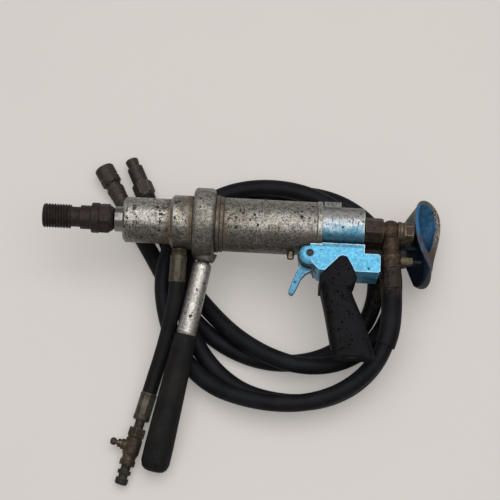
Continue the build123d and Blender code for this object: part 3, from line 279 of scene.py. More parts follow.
steelLook = {
    "base": (0.02, 0.0125, 0.0085), "rust": (0.042, 0.0225, 0.0115), "plate": (0.075, 0.05, 0.026),
    "edge": (0.2, 0.15, 0.085), "pit": (0.012, 0.009, 0.007), "plateLevel": 0.35, "rubLevel": 0.75,
    "cloud": 60.0, "bloom": 240.0, "grit": 900.0, "pitScale": 340.0, "pitShare": 0.2, "edgeWide": 0.0016,
    "rough": 0.42, "metal": 0.3, "depth": 0.0008, "gloss": 0.3,
}
steels = {
    "adapter_steel": {"base": (0.0165, 0.0095, 0.009), "rust": (0.026, 0.0145, 0.012),
        "plate": (0.033, 0.021, 0.0175), "edge": (0.07, 0.052, 0.045), "plateLevel": 0.3, "rough": 0.36,
        "metal": 0.45},
    "fitting_steel": {"base": (0.015, 0.0096, 0.0067), "rust": (0.032, 0.0175, 0.0092),
        "edge": (0.15, 0.098, 0.054), "edgeWide": 0.0022, "plateLevel": 0.2},
    "elbow_steel": {"rust": (0.058, 0.031, 0.016), "plate": (0.1, 0.066, 0.035), "edge": (0.27, 0.2, 0.11),
        "plateLevel": 0.6, "rubLevel": 0.9, "edgeWide": 0.0026},
    "washer_zinc": {"base": (0.06, 0.045, 0.029), "plate": (0.11, 0.086, 0.05), "edge": (0.33, 0.28, 0.17)},
    "elbow_bolt": {"base": (0.04, 0.028, 0.024), "edge": (0.42, 0.37, 0.22), "rubLevel": 0.9},
    "plug_zinc": {"base": (0.095, 0.076, 0.046), "rust": (0.085, 0.06, 0.034), "plate": (0.15, 0.12, 0.07),
        "plateLevel": 0.8},
    "ferrule_rust": {"base": (0.0085, 0.007, 0.0061), "rust": (0.027, 0.016, 0.0094), "plateLevel": 0.12,
        "metal": 0.1, "depth": 0.0011, "rough": 0.5},
    "coupler_steel": {"base": (0.032, 0.0255, 0.0225), "rust": (0.046, 0.033, 0.026),
        "plate": (0.085, 0.074, 0.063), "edge": (0.2, 0.18, 0.155), "rough": 0.36, "metal": 0.6},
    "water_brass": {"base": (0.042, 0.03, 0.019), "rust": (0.019, 0.0135, 0.009),
        "plate": (0.1, 0.076, 0.046), "edge": (0.3, 0.245, 0.155), "plateLevel": 0.6, "metal": 0.6,
        "rough": 0.34},
    "water_black": {"base": (0.01, 0.0095, 0.009), "rust": (0.02, 0.016, 0.012),
        "plate": (0.034, 0.029, 0.022), "edge": (0.12, 0.1, 0.075)},
    "screw_brass": {"base": (0.13, 0.1, 0.066), "rust": (0.06, 0.042, 0.026), "plate": (0.32, 0.28, 0.21),
        "edge": (0.55, 0.5, 0.4), "metal": 0.85, "rough": 0.26},
    "ferrule_nickel": {"base": (0.07, 0.058, 0.042), "rust": (0.03, 0.022, 0.015),
        "plate": (0.115, 0.1, 0.077), "edge": (0.3, 0.275, 0.23), "plateLevel": 0.7, "metal": 0.7,
        "rough": 0.34},
    "bolt_zinc": {"base": (0.03, 0.024, 0.02), "rust": (0.05, 0.033, 0.023), "plate": (0.075, 0.062, 0.048),
        "edge": (0.075, 0.063, 0.05), "metal": 0.4},
    "inner_steel": {"base": (0.42, 0.42, 0.42), "rust": (0.34, 0.33, 0.32), "plate": (0.5, 0.5, 0.49),
        "edge": (0.7, 0.7, 0.69), "metal": 1.0, "rough": 0.18},
    "spring_steel": {"base": (0.014, 0.014, 0.015), "rust": (0.024, 0.021, 0.018),
        "plate": (0.03, 0.03, 0.032), "edge": (0.14, 0.13, 0.12), "metal": 0.6, "rough": 0.38},
    "bracket_steel": {"base": (0.02, 0.021, 0.024), "rust": (0.038, 0.03, 0.025),
        "plate": (0.03, 0.034, 0.042), "edge": (0.03, 0.028, 0.026), "metal": 0.1, "rough": 0.6},
}


def turnedSteel(name, look):
    # bright spindle: fine rings round the axis and a few dark stains
    s = Shade(name)
    ring = s.noise(1.0, 3.0, 0.7, s.stretch(*look["streak"]))
    stain = s.noise(look["stainScale"], 5.0, 0.65).step(0.5, 0.7)
    color = s.mix(ring, look["dim"], look["bright"])
    color = s.mix(stain * 0.8, color, look["stain"])
    rough = ring * 0.12 + stain * 0.25 + look["rough"]
    return s.done(color=color, rough=rough, metal=1.0, normal=s.bump(ring, look["depth"], 0.4))


spindleLook = {
    "dim": (0.115, 0.108, 0.1), "bright": (0.27, 0.257, 0.24), "stain": (0.08, 0.068, 0.056),
    "streak": (2600.0, 60.0, 60.0), "stainScale": 130.0, "rough": 0.16, "depth": 0.0001,
}


def rubber(name, look):
    # black rubber: chalky bloom, scuffs along the piece, moulding pits
    s = Shade(name)
    bloom = s.noise(look["bloomScale"], 5.0, 0.6)
    scuff = s.noise(1.0, 6.0, 0.75, s.stretch(*look["streak"])).step(0.56, 0.74)
    grain = s.noise(look["grain"], 3.0, 0.65)
    hole = s.pits(look["pitScale"], look["pitShare"], 0.55, 0.0016, look["pitZone"](s))
    rub = s.edges(look["edgeWide"]).step(0.02, 0.16)
    color = s.mix(bloom.step(0.36, 0.7), look["base"], look["bloom"])
    color = s.mix(scuff * look["scuffLevel"], color, look["scuff"])
    color = s.mix(rub * look["rubLevel"], color, look["scuff"])
    color = s.mix(look["dustZone"](s), color, look["dust"])
    color = s.mix(hole, color, look["pit"])
    rough = bloom * 0.16 + look["rough"] + scuff * 0.12 + grain * 0.1 + hole * 0.3
    height = grain * 0.3 + scuff * 0.3 - hole * 2.2
    normal = s.bump(height, look["depth"], 0.7)
    return s.done(color=color, rough=rough.clip(), normal=normal, gloss=look["gloss"])


def gripPits(s):
    # the pits gather in loose patches
    return s.noise(42.0, 3.0).step(0.4, 0.52)


def legDust(s):
    # brown rust dust on the sleeve below the ferrules
    shift = (s.noise(120.0, 4.0) - 0.5) * 0.03
    inside = s.reach("Y", -92, -74, shift) * s.reach("X", 430, 440)
    return inside * s.noise(200.0, 4.0, 0.7).step(0.42, 0.62)


rubberLook = {
    "base": (0.0055, 0.0055, 0.0062), "bloom": (0.0105, 0.0105, 0.0115), "scuff": (0.032, 0.031, 0.031),
    "dust": (0.034, 0.024, 0.016), "pit": (0.0015, 0.0015, 0.0015), "scuffLevel": 0.4, "rubLevel": 0.5,
    "bloomScale": 26.0, "grain": 900.0, "streak": (120.0, 120.0, 120.0), "edgeWide": 0.0016,
    "pitScale": 300.0, "pitShare": 0.02, "pitZone": clean, "dustZone": clean, "rough": 0.42, "gloss": 0.09,
    "depth": 0.0005,
}
rubbers = {
    "grip_rubber": {"base": (0.0048, 0.005, 0.0058), "bloom": (0.0085, 0.0087, 0.0098), "pitShare": 0.9,
        "pitZone": gripPits, "depth": 0.0012, "rough": 0.4, "rubLevel": 0.3, "gloss": 0.06,
        "scuffLevel": 0.5},
    "handle_rubber": {"base": (0.006, 0.0055, 0.0054), "bloom": (0.0138, 0.0126, 0.012), "rough": 0.46,
        "scuff": (0.045, 0.04, 0.037), "scuffLevel": 0.55, "streak": (260.0, 45.0, 200.0)},
    "hose_rubber": {"base": (0.0045, 0.0048, 0.006), "bloom": (0.0095, 0.01, 0.0122), "rough": 0.38,
        "dustZone": legDust, "streak": (60.0, 160.0, 320.0)},
    "water_hose_rubber": {"base": (0.006, 0.0058, 0.006), "bloom": (0.0105, 0.0102, 0.0105), "rough": 0.44,
        "streak": (300.0, 40.0, 120.0)},
    "seal_rubber": {},
}


def bluePaint(name, look):
    # blue coat over metal: sparkle, dark chips, worn bright edges, with bare, thin and darker zones and
    # painted shade
    s = Shade(name)
    cloud = s.noise(look["cloud"], 5.0, 0.6)
    mottle = s.noise(look["mottle"], 5.0, 0.72)
    spark = s.noise(look["spark"], 2.0, 0.6)
    chip = s.pits(look["chipScale"], look["chipShare"], 0.5, 0.0034, s.noise(60.0, 4.0).step(0.46, 0.6))
    fleck = s.pits(look["fleckScale"], look["fleckShare"], 0.34, 0.001)
    rub = s.edges(look["edgeWide"]).step(0.02, 0.14) * s.noise(120.0, 4.0).step(0.25, 0.55)
    scratch = s.noise(1.0, 5.0, 0.75, s.stretch(*look["streak"])).step(0.55, 0.63)
    thin = mottle.step(0.3, 0.7)
    bare, tint, darkening = [look[zone](s) for zone in ("bareZone", "tintZone", "darkeningZone")]
    color = s.mix(mottle.step(0.34, 0.66), look["deep"], look["light"])
    color = s.mix(cloud.step(0.44, 0.72) * 0.5, color, look["dull"])
    color = s.mix(s.noise(700.0, 4.0, 0.75).step(0.5, 0.66) * 0.4, color, look["dull"])
    color = s.mix(tint, color, s.mix(thin, look["tintDeep"], look["tintLight"]))
    bareMetal = s.mix(thin, look["bareDim"], look["bareBright"])
    color = s.mix(bare, color, s.mix(scratch * 0.85, bareMetal, look["scratch"]))
    color = s.mix(rub * look["rubLevel"], color, look["edge"])
    # darker and less metallic on the far flank and its pad
    color = s.mix(darkening, color, look["darkening"])
    # painted shade: darker round the trigger pin's hole and in the step's recess
    color = s.mix(look["shadeZone"](s), color, look["shade"])
    color = s.mix(fleck * 0.7, color, look["fleck"])
    color = s.mix(chip, color, look["chip"])
    rough = mottle * 0.16 + spark * 0.14 + look["rough"] + chip * 0.3 + scratch * bare * 0.2 - tint * 0.08
    metal = (look["metal"] + (bare + tint).clip() * 0.6 - chip * 0.7 - darkening * 0.7).clip()
    height = mottle * 0.4 + spark * 0.12 - chip * 1.2 - bare * 0.4 - scratch * bare
    return s.done(color=color, rough=rough.clip(), metal=metal, normal=s.bump(height, look["depth"], 0.6))


# zones of the valve casting, in the tool's millimetres; pinShade is two radii
valveZones = {
    "crown": (-15, 8), "farFlank": (11, 21), "roundBody": (-32.5, -30.5), "pin": (347, -41),
    "pinShade": (5.8, 4.6), "ledge": (415, 418), "ledgeTop": (8, -2),
}


def wornCrown(s):
    # the round body's far half is rubbed to bare metal, with a ragged lower border
    return s.reach("Y", *valveZones["crown"], (s.noise(75.0, 5.0, 0.65) - 0.5) * 0.03)


def farDarkening(s):
    # the far flank and the small pad on it are darker and less metallic
    return s.reach("Y", *valveZones["farFlank"]) * 0.9


def pinAndStep(s):
    # painted shade round the trigger pin's dark hole, and in the recessed step behind the round body
    pinX, pinY, _ = spot(*valveZones["pin"], 0)
    east, north = s.along("X") - pinX, s.along("Y") - pinY
    outer, inner = [(radius / 1000) ** 2 for radius in valveZones["pinShade"]]
    pin = (east * east + north * north).step(outer, inner)
    ledge = s.reach("X", *valveZones["ledge"]) * s.reach("Z", *valveZones["ledgeTop"])
    return (pin + ledge * s.noise(70.0, 4.0).step(0.3, 0.6) * 0.6).clip()


def roundBody(s):
    # the round body above the block keeps a thin dark blue coat
    return s.reach("Y", *valveZones["roundBody"])


paintLook = {
    "deep": (0.042, 0.27, 0.45), "light": (0.14, 0.51, 0.73), "dull": (0.05, 0.21, 0.32),
    "edge": (0.7, 0.82, 0.85), "tintDeep": (0.03, 0.1, 0.152), "tintLight": (0.085, 0.21, 0.29),
    "bareDim": (0.3, 0.3, 0.295), "bareBright": (0.6, 0.6, 0.59), "scratch": (0.03, 0.03, 0.03),
    "darkening": (0.07, 0.066, 0.058), "shade": (0.012, 0.035, 0.05), "fleck": (0.72, 0.78, 0.8),
    "chip": (0.012, 0.016, 0.02), "cloud": 38.0, "mottle": 260.0, "spark": 1500.0,
    "streak": (420.0, 180.0, 180.0), "edgeWide": 0.0018, "chipScale": 260.0, "chipShare": 0.6,
    "fleckScale": 420.0, "fleckShare": 0.07, "rubLevel": 0.9, "rough": 0.3, "metal": 0.35, "depth": 0.0005,
    "bareZone": clean, "tintZone": clean, "darkeningZone": clean, "shadeZone": clean,
}
paints = {
    "valve_paint": {"bareZone": wornCrown, "tintZone": roundBody, "darkeningZone": farDarkening,
        "shadeZone": pinAndStep},
    "trigger_paint": {"chipShare": 0.3, "rubLevel": 1.0, "deep": (0.024, 0.14, 0.24),
        "light": (0.075, 0.29, 0.44)},
}


def platePaint(name, look):
    # the plate: blue hollow with painted shade on its near half; flange with painted light on its upper
    # side, worn metal on its lower one; back in painted shade, with a grey facet at its far end that is
    # part worn paint and part painted light; rust near the grip
    s = Shade(name)
    inside, wall, upper, far = [s.own(key) for key in ("inside", "wall", "upper", "far")]
    mottle = s.noise(look["mottle"], 5.0, 0.7)
    cloud = s.noise(look["cloud"], 5.0, 0.6)
    ragged = wall + (s.noise(130.0, 4.0, 0.65) - 0.5) * 0.16
    flange = wall.step(0.66, 0.7) * inside
    upperSide = upper.step(-0.1, 0.3)
    hollow = s.mix(mottle.step(0.32, 0.7), look["deep"], look["light"])
    hollow = s.mix(cloud.step(0.5, 0.7) * 0.45, hollow, look["dull"])
    # painted shade: the hollow darker on its near half
    hollow = s.mix(s.reach("Y", *look["hollowShadeZone"]) * 0.55, hollow, look["hollowShade"])
    # painted light: a paler strip on the flange's upper side, which faces up
    paintedLightStrip = s.mix(mottle.step(0.1, 0.5), look["light"], look["paintedLightStrip"])
    hollow = s.mix(flange * upperSide, hollow, paintedLightStrip)
    # a grey facet, partly worn paint and partly painted light, on the flange's far end and parts of the
    # back
    wornAndLitFacet = s.mix(mottle.step(0.35, 0.65), look["wornAndLitFacetDark"], look["wornAndLitFacet"])
    hollow = s.mix(flange * (far + (cloud - 0.5) * 0.3).step(0.6, 0.82), hollow, wornAndLitFacet)
    # painted shade: the back near black navy, where it faces down and away from the lamp
    back = s.mix(mottle.step(0.4, 0.8), look["shadedNavy"], look["shadedNight"])
    back = s.mix(far.step(0.0, 0.3) * upperSide, back, wornAndLitFacet)
    back = s.mix(wall.step(0.5, 0.9) * far.step(-0.7, -0.95) * upper.step(0.0, -0.4) * 0.5, back, wornAndLitFacet)
    color = s.mix(inside, back, hollow)
    lowSide = ragged.step(0.64, 0.76) * (upper + far * 0.2).step(0.05, -0.3) * far.step(-0.85, -0.5)
    lowSide = lowSide * s.noise(90.0, 4.0, 0.7).step(0.3, 0.5)
    rub = s.edges(look["edgeWide"]).step(0.05, 0.3) * mottle.step(0.4, 0.6) * wall.step(0.02, 0.1)
    worn = (lowSide * inside + rub).clip()
    rim = s.mix(s.noise(420.0, 4.0, 0.7).step(0.42, 0.6), look["brown"], look["metal"])
    color = s.mix(worn, color, rim)
    rust = ragged.step(0.62, 0.74) * far.step(-0.1, -0.45) * cloud.step(0.3, 0.5) * inside
    rust = rust * look["rustLevel"]
    color = s.mix(rust, color, s.mix(mottle.step(0.4, 0.65), look["brown"], look["ochre"]))
    chip = s.pits(look["chipScale"], look["chipShare"], 0.45, 0.0024, cloud.step(0.4, 0.6))
    color = s.mix(chip, color, look["chip"])
    rough = mottle * 0.2 + look["rough"] + rust * 0.3 + chip * 0.2
    metal = (0.05 + worn * 0.5 - rust * 0.5).clip()
    height = mottle * 0.5 - chip - worn * 0.5 + rust * 0.3
    normal = s.bump(height, look["depth"], 0.6)
    return s.done(color=color, rough=rough.clip(), metal=metal, normal=normal, gloss=look["gloss"])


plateLook = {
    "deep": (0.01, 0.052, 0.115), "light": (0.03, 0.108, 0.2), "dull": (0.008, 0.03, 0.06),
    "paintedLightStrip": (0.004, 0.15, 0.35), "hollowShade": (0.005, 0.03, 0.082), "hollowShadeZone": (25, -20),
    "shadedNavy": (0.0025, 0.005, 0.011), "shadedNight": (0.0045, 0.014, 0.028), "brown": (0.06, 0.038, 0.021),
    "metal": (0.45, 0.41, 0.35), "wornAndLitFacet": (0.13, 0.122, 0.098), "wornAndLitFacetDark": (0.045, 0.066, 0.072),
    "ochre": (0.1, 0.066, 0.044), "chip": (0.012, 0.012, 0.014), "mottle": 200.0, "cloud": 45.0,
    "chipScale": 240.0, "chipShare": 0.3, "edgeWide": 0.0016, "rustLevel": 0.9, "rough": 0.36,
    "gloss": 0.12, "depth": 0.0006,
}

finishKinds = [
    (castMetal, castLook, castings), (rustySteel, steelLook, steels), (rubber, rubberLook, rubbers),
    (bluePaint, paintLook, paints), (turnedSteel, spindleLook, {"spindle_steel": {}}),
    (platePaint, plateLook, {"plate_paint": {}}),
]
finishes = {}
for makeFinish, common, looks in finishKinds:
    finishes.update({name: makeFinish(name, {**common, **look}) for name, look in looks.items()})
ownFinish = {"water_nipple": "water_black"}
for nodeName, node in cad.items():
    node.data.materials.clear()
    node.data.materials.append(finishes[ownFinish.get(nodeName, slotOf[nodeName])])
print("finishes", len(finishes))


# surfaces

def placed(name, data):
    # a new object in the scene
    piece = bpy.data.objects.new(name, data)
    bpy.context.collection.objects.link(piece)
    return piece


def gridMesh(name, grids, slot, sharp=35.0, painted=None):
    # each grid is rows by columns of points, closed round the columns, its first and last row capped
    # unless they are the same; painted holds one value a point, grid after grid
    faces, first = [], 0
    for points in grids:
        rows, columns = points.shape[:2]
        low = np.arange((rows - 1) * columns)
        nextColumn = low - low % columns + (low + 1) % columns
        quads = np.stack([low, nextColumn, nextColumn + columns, low + columns], 1) + first
        faces += quads.tolist()
        if not np.allclose(points[0], points[-1]):
            faces.append(list(range(first + columns - 1, first - 1, -1)))
            faces.append(list(range(first + (rows - 1) * columns, first + rows * columns)))
        first += rows * columns
    mesh = bpy.data.meshes.new(name)
    mesh.from_pydata(np.concatenate([points.reshape(-1, 3) for points in grids]), [], faces)
    for key, values in (painted or {}).items():
        mesh.attributes.new(key, "FLOAT", "POINT").data.foreach_set("value", values)
    work = bmesh.new()
    work.from_mesh(mesh)
    bmesh.ops.remove_doubles(work, verts=work.verts, dist=1e-7)
    bmesh.ops.recalc_face_normals(work, faces=work.faces)
    work.to_mesh(mesh)
    work.free()
    mesh.polygons.foreach_set("use_smooth", np.ones(len(mesh.polygons), bool))
    mesh.set_sharp_from_angle(angle=math.radians(sharp))
    piece = placed(name, mesh)
    mesh.materials.append(finishes[slot])
    return piece


def ramp(values, start, length):
    # straight 0 to 1 over a length from start, backwards where that is negative
    return np.clip((values - start) / length, 0, 1)


def unit(vectors):
    # each vector at length 1
    return vectors / np.linalg.norm(vectors, axis=-1, keepdims=True)


def fullTurn(columns):
    # the angles of a ring's columns
    return np.linspace(0, 2 * np.pi, columns, endpoint=False)


def barRadius(half, sides, turn):
    # a flat-sided bar: half its width / cos(turn from the middle of the side)
    part = 2 * np.pi / sides
    return half / np.cos(turn % part - part / 2)


def lathe(stations, radii, origin, axes):
    # stations (n) and radii (n by m), millimetres, turned about the line from origin along axes[2]
    turn = fullTurn(radii.shape[1])
    ring = np.cos(turn)[:, None] * axes[0] + np.sin(turn)[:, None] * axes[1]
    return origin + (stations[:, None, None] * axes[2] + radii[:, :, None] * ring) / 1000


toolAxes = np.eye(3)[[1, 2, 0]]


# bit adapter: rounded coarse thread on a stub, then groove, plain neck, flange, hexagon and rounded end;
# station and radius pairs, millimetres; fades and taper as start and length
adapter = {
    "pitch": 3.629, "depth": 1.75, "crest": 15.8, "thread": (1.6, 37.0), "threadRows": 290, "steps": 240,
    "fadeIn": (1.0, 2.5), "fadeOut": (37.4, -3.0), "taper": (35.6, 1.4), "taperDrop": 2.6, "hexFlats": 35.0,
    "bore": [(30.0, 0.01), (30.0, 4.9), (0.6, 4.9), (0.0, 5.5), (0.0, 13.4), (0.4, 14.2), (1.0, 14.9)],
    "neck": [(37.0, 13.2), (37.4, 13.05), (47.4, 13.05), (48.2, 13.4), (49.0, 15.5), (62.6, 15.5),
             (63.0, 15.9), (63.0, 18.7), (63.9, 19.7), (72.6, 19.7), (73.5, 18.8), (73.5, 17.6)],
    "hexagon": [(73.5, 18.1), (74.0, 18.9), (75.2, 20.0), (76.0, 20.2), (83.6, 20.2), (85.6, 20.0),
                (86.6, 18.7), (87.0, 17.3)],
    "end": [(87.0, 17.0), (87.4, 16.9), (89.2, 16.2), (90.6, 15.1), (92.0, 13.7), (92.8, 12.4), (92.8, 9.0),
            (92.8, 0.01)],
}


def bitAdapter():
    # radius = profile, on the thread less depth * fade * (1 - wave ^ 0.65), the wave moving one pitch in
    # a turn, and on the hexagon no more than its flats
    turn = fullTurn(adapter["steps"])[None, :]
    thread = np.linspace(*adapter["thread"], adapter["threadRows"])
    wave = 0.5 + 0.5 * np.cos(2 * np.pi * (thread[:, None] / adapter["pitch"]) - turn)
    fade = ramp(thread, *adapter["fadeIn"]) * ramp(thread, *adapter["fadeOut"])
    crest = adapter["crest"] - adapter["taperDrop"] * ramp(thread, *adapter["taper"])
    threadRadius = crest[:, None] - adapter["depth"] * fade[:, None] * (1 - wave ** 0.65)
    bore, neck, hexagon, end = [np.array(adapter[key]) for key in ("bore", "neck", "hexagon", "end")]
    flat = barRadius(adapter["hexFlats"] / 2, 6, turn)

    def plain(table):
        return np.repeat(table[:, 1:2], adapter["steps"], 1)
    stations = np.concatenate([bore[:, 0], thread, neck[:, 0], hexagon[:, 0], end[:, 0]])
    hexRadius = np.minimum(flat, plain(hexagon))
    radii = np.concatenate([plain(bore), threadRadius, plain(neck), hexRadius, plain(end)])
    piece = gridMesh("bitAdapter", [lathe(stations, radii, spot(0, 0, 0), toolAxes)], "adapter_steel", 30.0)
    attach(piece, "spindle")
    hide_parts("thread_adapter")


bitAdapter()
print("bit adapter")


# breast plate: an oval pan with a broad flange, its lower rim twisted and its back sagging to the near
# side, with two ears on the pivot; millimetres and degrees, mouth as a share of the rim, lip as rings of
# more width, more height, lift and place up the wall
plate = {
    "center": (501.9, 5.7, -17.9), "rimFacing": (3.25, 30.0), "rim": (48.0, 37.9), "twist": (-14.6, -2.4),
    "arch": 2.8, "mouth": (0.7, 0.67), "mouthShift": 0.23, "mouthDrop": 1.6, "flangeRise": 0.5,
    "lip": [(-0.016, -0.02, -1.0, 0.68), (0.01, 0.012, -0.1, 0.72)], "bellyCenter": (489.0, -18.0, -36.0),
    "belly": (42.0, 21.1, 8.4), "bellyFacing": (11.0, 28.0), "bellyBlunt": 0.6, "farPull": 13.0,
    "nearPush": 3.0, "upperPush": (6.0, 0.0, -6.0), "baseCenter": (479.5, -32.0, -49.0),
    "base": (24.0, 12.0), "baseFacing": (22.0, 12.0), "floorShare": 0.88,
    "floorRings": (0.001, 0.35, 0.7, 0.94), "wallEnd": 0.94, "wallMark": 0.6, "flangeSpan": (0.1, 0.97),
    "flangeMark": 0.72, "rimShare": 0.994, "rimLift": 0.3, "rimDrop": 0.8, "backStart": 0.97,
    "thickness": 2.4, "columns": 180, "wallRows": 12, "flangeRows": 9, "backRows": 26,
    "pivot": (468.5, -27.2, -12.0), "pinHole": 3.65, "earGap": 7.35, "earThickness": 3.5, "earRadius": 7.0,
    "earReach": 24.0, "earColumns": 64,
}


def facing(turn, lean):
    # the normal of a plane turned and leaned, and its long and short directions
    turn, lean = math.radians(turn), math.radians(lean)
    normal = np.array([math.cos(lean) * math.cos(turn), math.cos(lean) * math.sin(turn), math.sin(lean)])
    long = np.array([-math.sin(turn), math.cos(turn), 0.0])
    return normal, long, np.cross(normal, long)


def plateGrid():
    # the rim's surface at (u, v) = center + long u + short v, bent along its normal by
    # u v (lower twist (1 - v) / 2 + upper twist (1 + v) / 2) + arch u u; the back runs from rim to base
    # as rim a a + 2 a b control + base b b with a + b = 1, its middle on the belly's oval, or on the
    # upper side half way, pushed out
    angle = fullTurn(plate["columns"])
    cosine, sine = np.cos(angle)[:, None], np.sin(angle)[:, None]

    def rimRing(wide, high, shift, lift):
        normal, long, short = facing(*plate["rimFacing"])
        halfLong, halfShort = plate["rim"]
        lower, upper = plate["twist"]
        u, v = shift + wide * cosine, high * sine
        bend = u * v * (lower * (1 - v) / 2 + upper * (1 + v) / 2) + plate["arch"] * u ** 2
        flat = halfLong * u * long + halfShort * v * short
        return plate["center"] + flat + (bend + lift) * normal

    def bellyRing():
        normal, long, short = facing(*plate["bellyFacing"])
        halfLong, halfShort, lower = plate["belly"]
        near = np.clip(-cosine, 0, 1)
        blunt = np.sign(sine) * np.abs(sine) ** (1 - plate["bellyBlunt"] * near)
        push = plate["nearPush"] * near - plate["farPull"] * ramp(cosine, 0.6, 0.4) ** 1.5
        flat = halfLong * cosine * long + (halfShort - lower * sine) * blunt * short
        return plate["bellyCenter"] + flat + push * normal

    def baseRing(share, lift):
        normal, long, short = facing(*plate["baseFacing"])
        flat = share * (plate["base"][0] * cosine * long + plate["base"][1] * sine * short)
        return flat + lift * normal + plate["baseCenter"]

    # rings from the hollow's middle over the rim and down the back: points, inside, place up the wall
    skin, floorShare, shift = plate["thickness"], plate["floorShare"], plate["mouthShift"]
    wide, high = plate["mouth"]
    floor, mouth = baseRing(floorShare, skin), rimRing(wide, high, shift, -plate["mouthDrop"])
    rings = [(baseRing(floorShare * share, skin), 1, 0) for share in plate["floorRings"]]
    for h in np.linspace(0, plate["wallEnd"], plate["wallRows"]):
        rings.append((floor + (mouth - floor) * h, 1, plate["wallMark"] * h))
    for moreWide, moreHigh, lift, wall in plate["lip"]:
        rings.append((rimRing(wide + moreWide, high + moreHigh, shift, lift), 1, wall))
    mark = plate["flangeMark"]
    for h in np.linspace(*plate["flangeSpan"], plate["flangeRows"]):
        lift = plate["flangeRise"] * h
        flange = rimRing(wide + (1 - wide) * h, high + (1 - high) * h, shift * (1 - h), lift)
        rings.append((flange, 1, mark + (1 - mark) * h))
    rim, outerBase = rimRing(1, 1, 0, -plate["rimDrop"]), baseRing(1, 0)
    edge = rimRing(plate["rimShare"], plate["rimShare"], 0, plate["rimLift"])
    rings += [(edge, 0.5, 1), (rim, 0, 1)]
    straight = np.clip(sine, 0, 1) ** 2
    control = 2 * bellyRing() * (1 - straight) + (rim + outerBase) * straight - (rim + outerBase) / 2
    control = control + straight * plate["upperPush"]
    for h in np.linspace(plate["backStart"], 0, plate["backRows"]):
        rings.append((rim * h ** 2 + 2 * h * (1 - h) * control + outerBase * (1 - h) ** 2, 0, h))
    rings += [(baseRing(share, 0), 0, 0) for share in plate["floorRings"][::-1]]
    points = spot(0, 0, 0) + np.stack([ring for ring, _, _ in rings]) / 1000
    inside, wall = [np.array([ring[place] for ring in rings])[:, None] for place in (1, 2)]
    columns = np.ones(plate["columns"])
    painted = {"inside": inside * columns, "wall": wall * columns,
               "upper": np.sqrt(wall) * sine.ravel(), "far": np.sqrt(wall) * cosine.ravel()}
    return points, painted


def earGrid(end):
    # half a circle round the pin, then straight to the pan; rows from the pin hole out, over and back
    columns, radius, reach = plate["earColumns"], plate["earRadius"], plate["earReach"]
    angle = fullTurn(columns)
    circle = np.stack([np.cos(angle), np.sin(angle)], 1)
    square = np.stack([np.full(columns, reach), np.clip(np.tan(angle) * reach, -radius, radius)], 1)
    outer = np.where((np.cos(angle) > 0.02)[:, None], square, circle * radius)
    inner = circle * plate["pinHole"]
    near = end * plate["earGap"]
    far = end * (plate["earGap"] + plate["earThickness"])
    rows = [(inner, near), (outer, near), (outer, far), (inner, far), (inner, near)]
    grid = [np.column_stack([flat[:, 0], np.full(columns, side), flat[:, 1]]) for flat, side in rows]
    return spot(*plate["pivot"]) + np.stack(grid) / 1000


def breastPlate():
    pan, painted = plateGrid()
    ears = [earGrid(end) for end in (-1, 1)]
    spare = sum(ear.shape[0] * ear.shape[1] for ear in ears)
    painted = {key: np.concatenate([values.ravel(), np.zeros(spare)]) for key, values in painted.items()}
    piece = gridMesh("breastPlate", [pan] + ears, "plate_paint", 40.0, painted)
    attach(piece, "plate")
    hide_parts("breast_plate")


breastPlate()
print("breast plate")


# hoses: control points as in the CAD routes, millimetres along the axis, sideways and above the floor
pressureRoute = [
    (455.5, -70.4, 78.9), (457.4, -95.7, 69.6), (455, -131, 62), (441, -164, 55), (416, -191, 45.5),
    (383, -210, 38.5), (345, -220, 35.5), (306, -221, 35), (268, -215, 33.5), (232, -202, 26.5),
    (202, -177, 18.5), (178, -145, 20.5), (164, -108, 29.5), (157, -69, 35), (160, -30, 36.5),
    (174, 7, 36.5), (198, 40, 36.5), (230, 63, 36.5), (268, 75, 36), (307, 77, 35.5), (344, 71, 34),
    (379, 57, 29.5), (409, 34, 22), (431, 3, 15), (442, -34, 11.5), (440, -72, 11.5), (426, -107, 11.5),
    (400, -135, 11.5), (367, -154, 11.5), (329, -162, 11.5), (291, -160, 11.5), (254, -148, 11.5),
    (220, -127, 11.5), (190, -98, 11.5), (165, -64, 11.5), (145, -30, 11.5), (128, -3, 12.5),
    (116, 16, 13.6), (105, 34, 14),
]
returnRoute = [
    (455.6, -71.8, 52.1), (457.6, -97.6, 44.4), (455, -131, 36.5), (441, -163, 28.5), (416, -189, 19.5),
    (383, -206, 13), (345, -214, 11.5), (307, -212, 11.5), (272, -203, 11.5), (242, -184, 11.5),
    (218, -160, 16), (200, -134, 26.5), (188, -101, 36), (184, -66, 36.5), (187, -31, 35.5), (200, 2, 29),
    (222, 31, 21.5), (252, 54, 15.5), (286, 71, 12), (323, 79, 11.5), (360, 78, 11.5), (396, 67, 11.5),
    (427, 46, 11.5), (450, 17, 11.5), (464, -18, 11.5), (467, -56, 11.5), (459, -93, 12.5),
    (441, -126, 17.5), (412, -153, 25.5), (377, -168, 32.5), (339, -170, 36), (304, -160, 35.8),
    (274, -144, 32.3), (249, -125, 26.5), (225, -101, 20), (201, -73, 13.5), (180, -43, 11.5),
    (164, -14, 11.5), (150, 15, 11.5), (137, 40, 12), (126, 63, 12.6),
]
waterRoute = [
    (177.9, -76.5, 70.3), (177.5, -95.9, 65.9), (173, -121, 54), (168, -145, 42), (162, -168, 31.5),
    (155.9, -189.8, 24), (150, -214, 21.5),
]
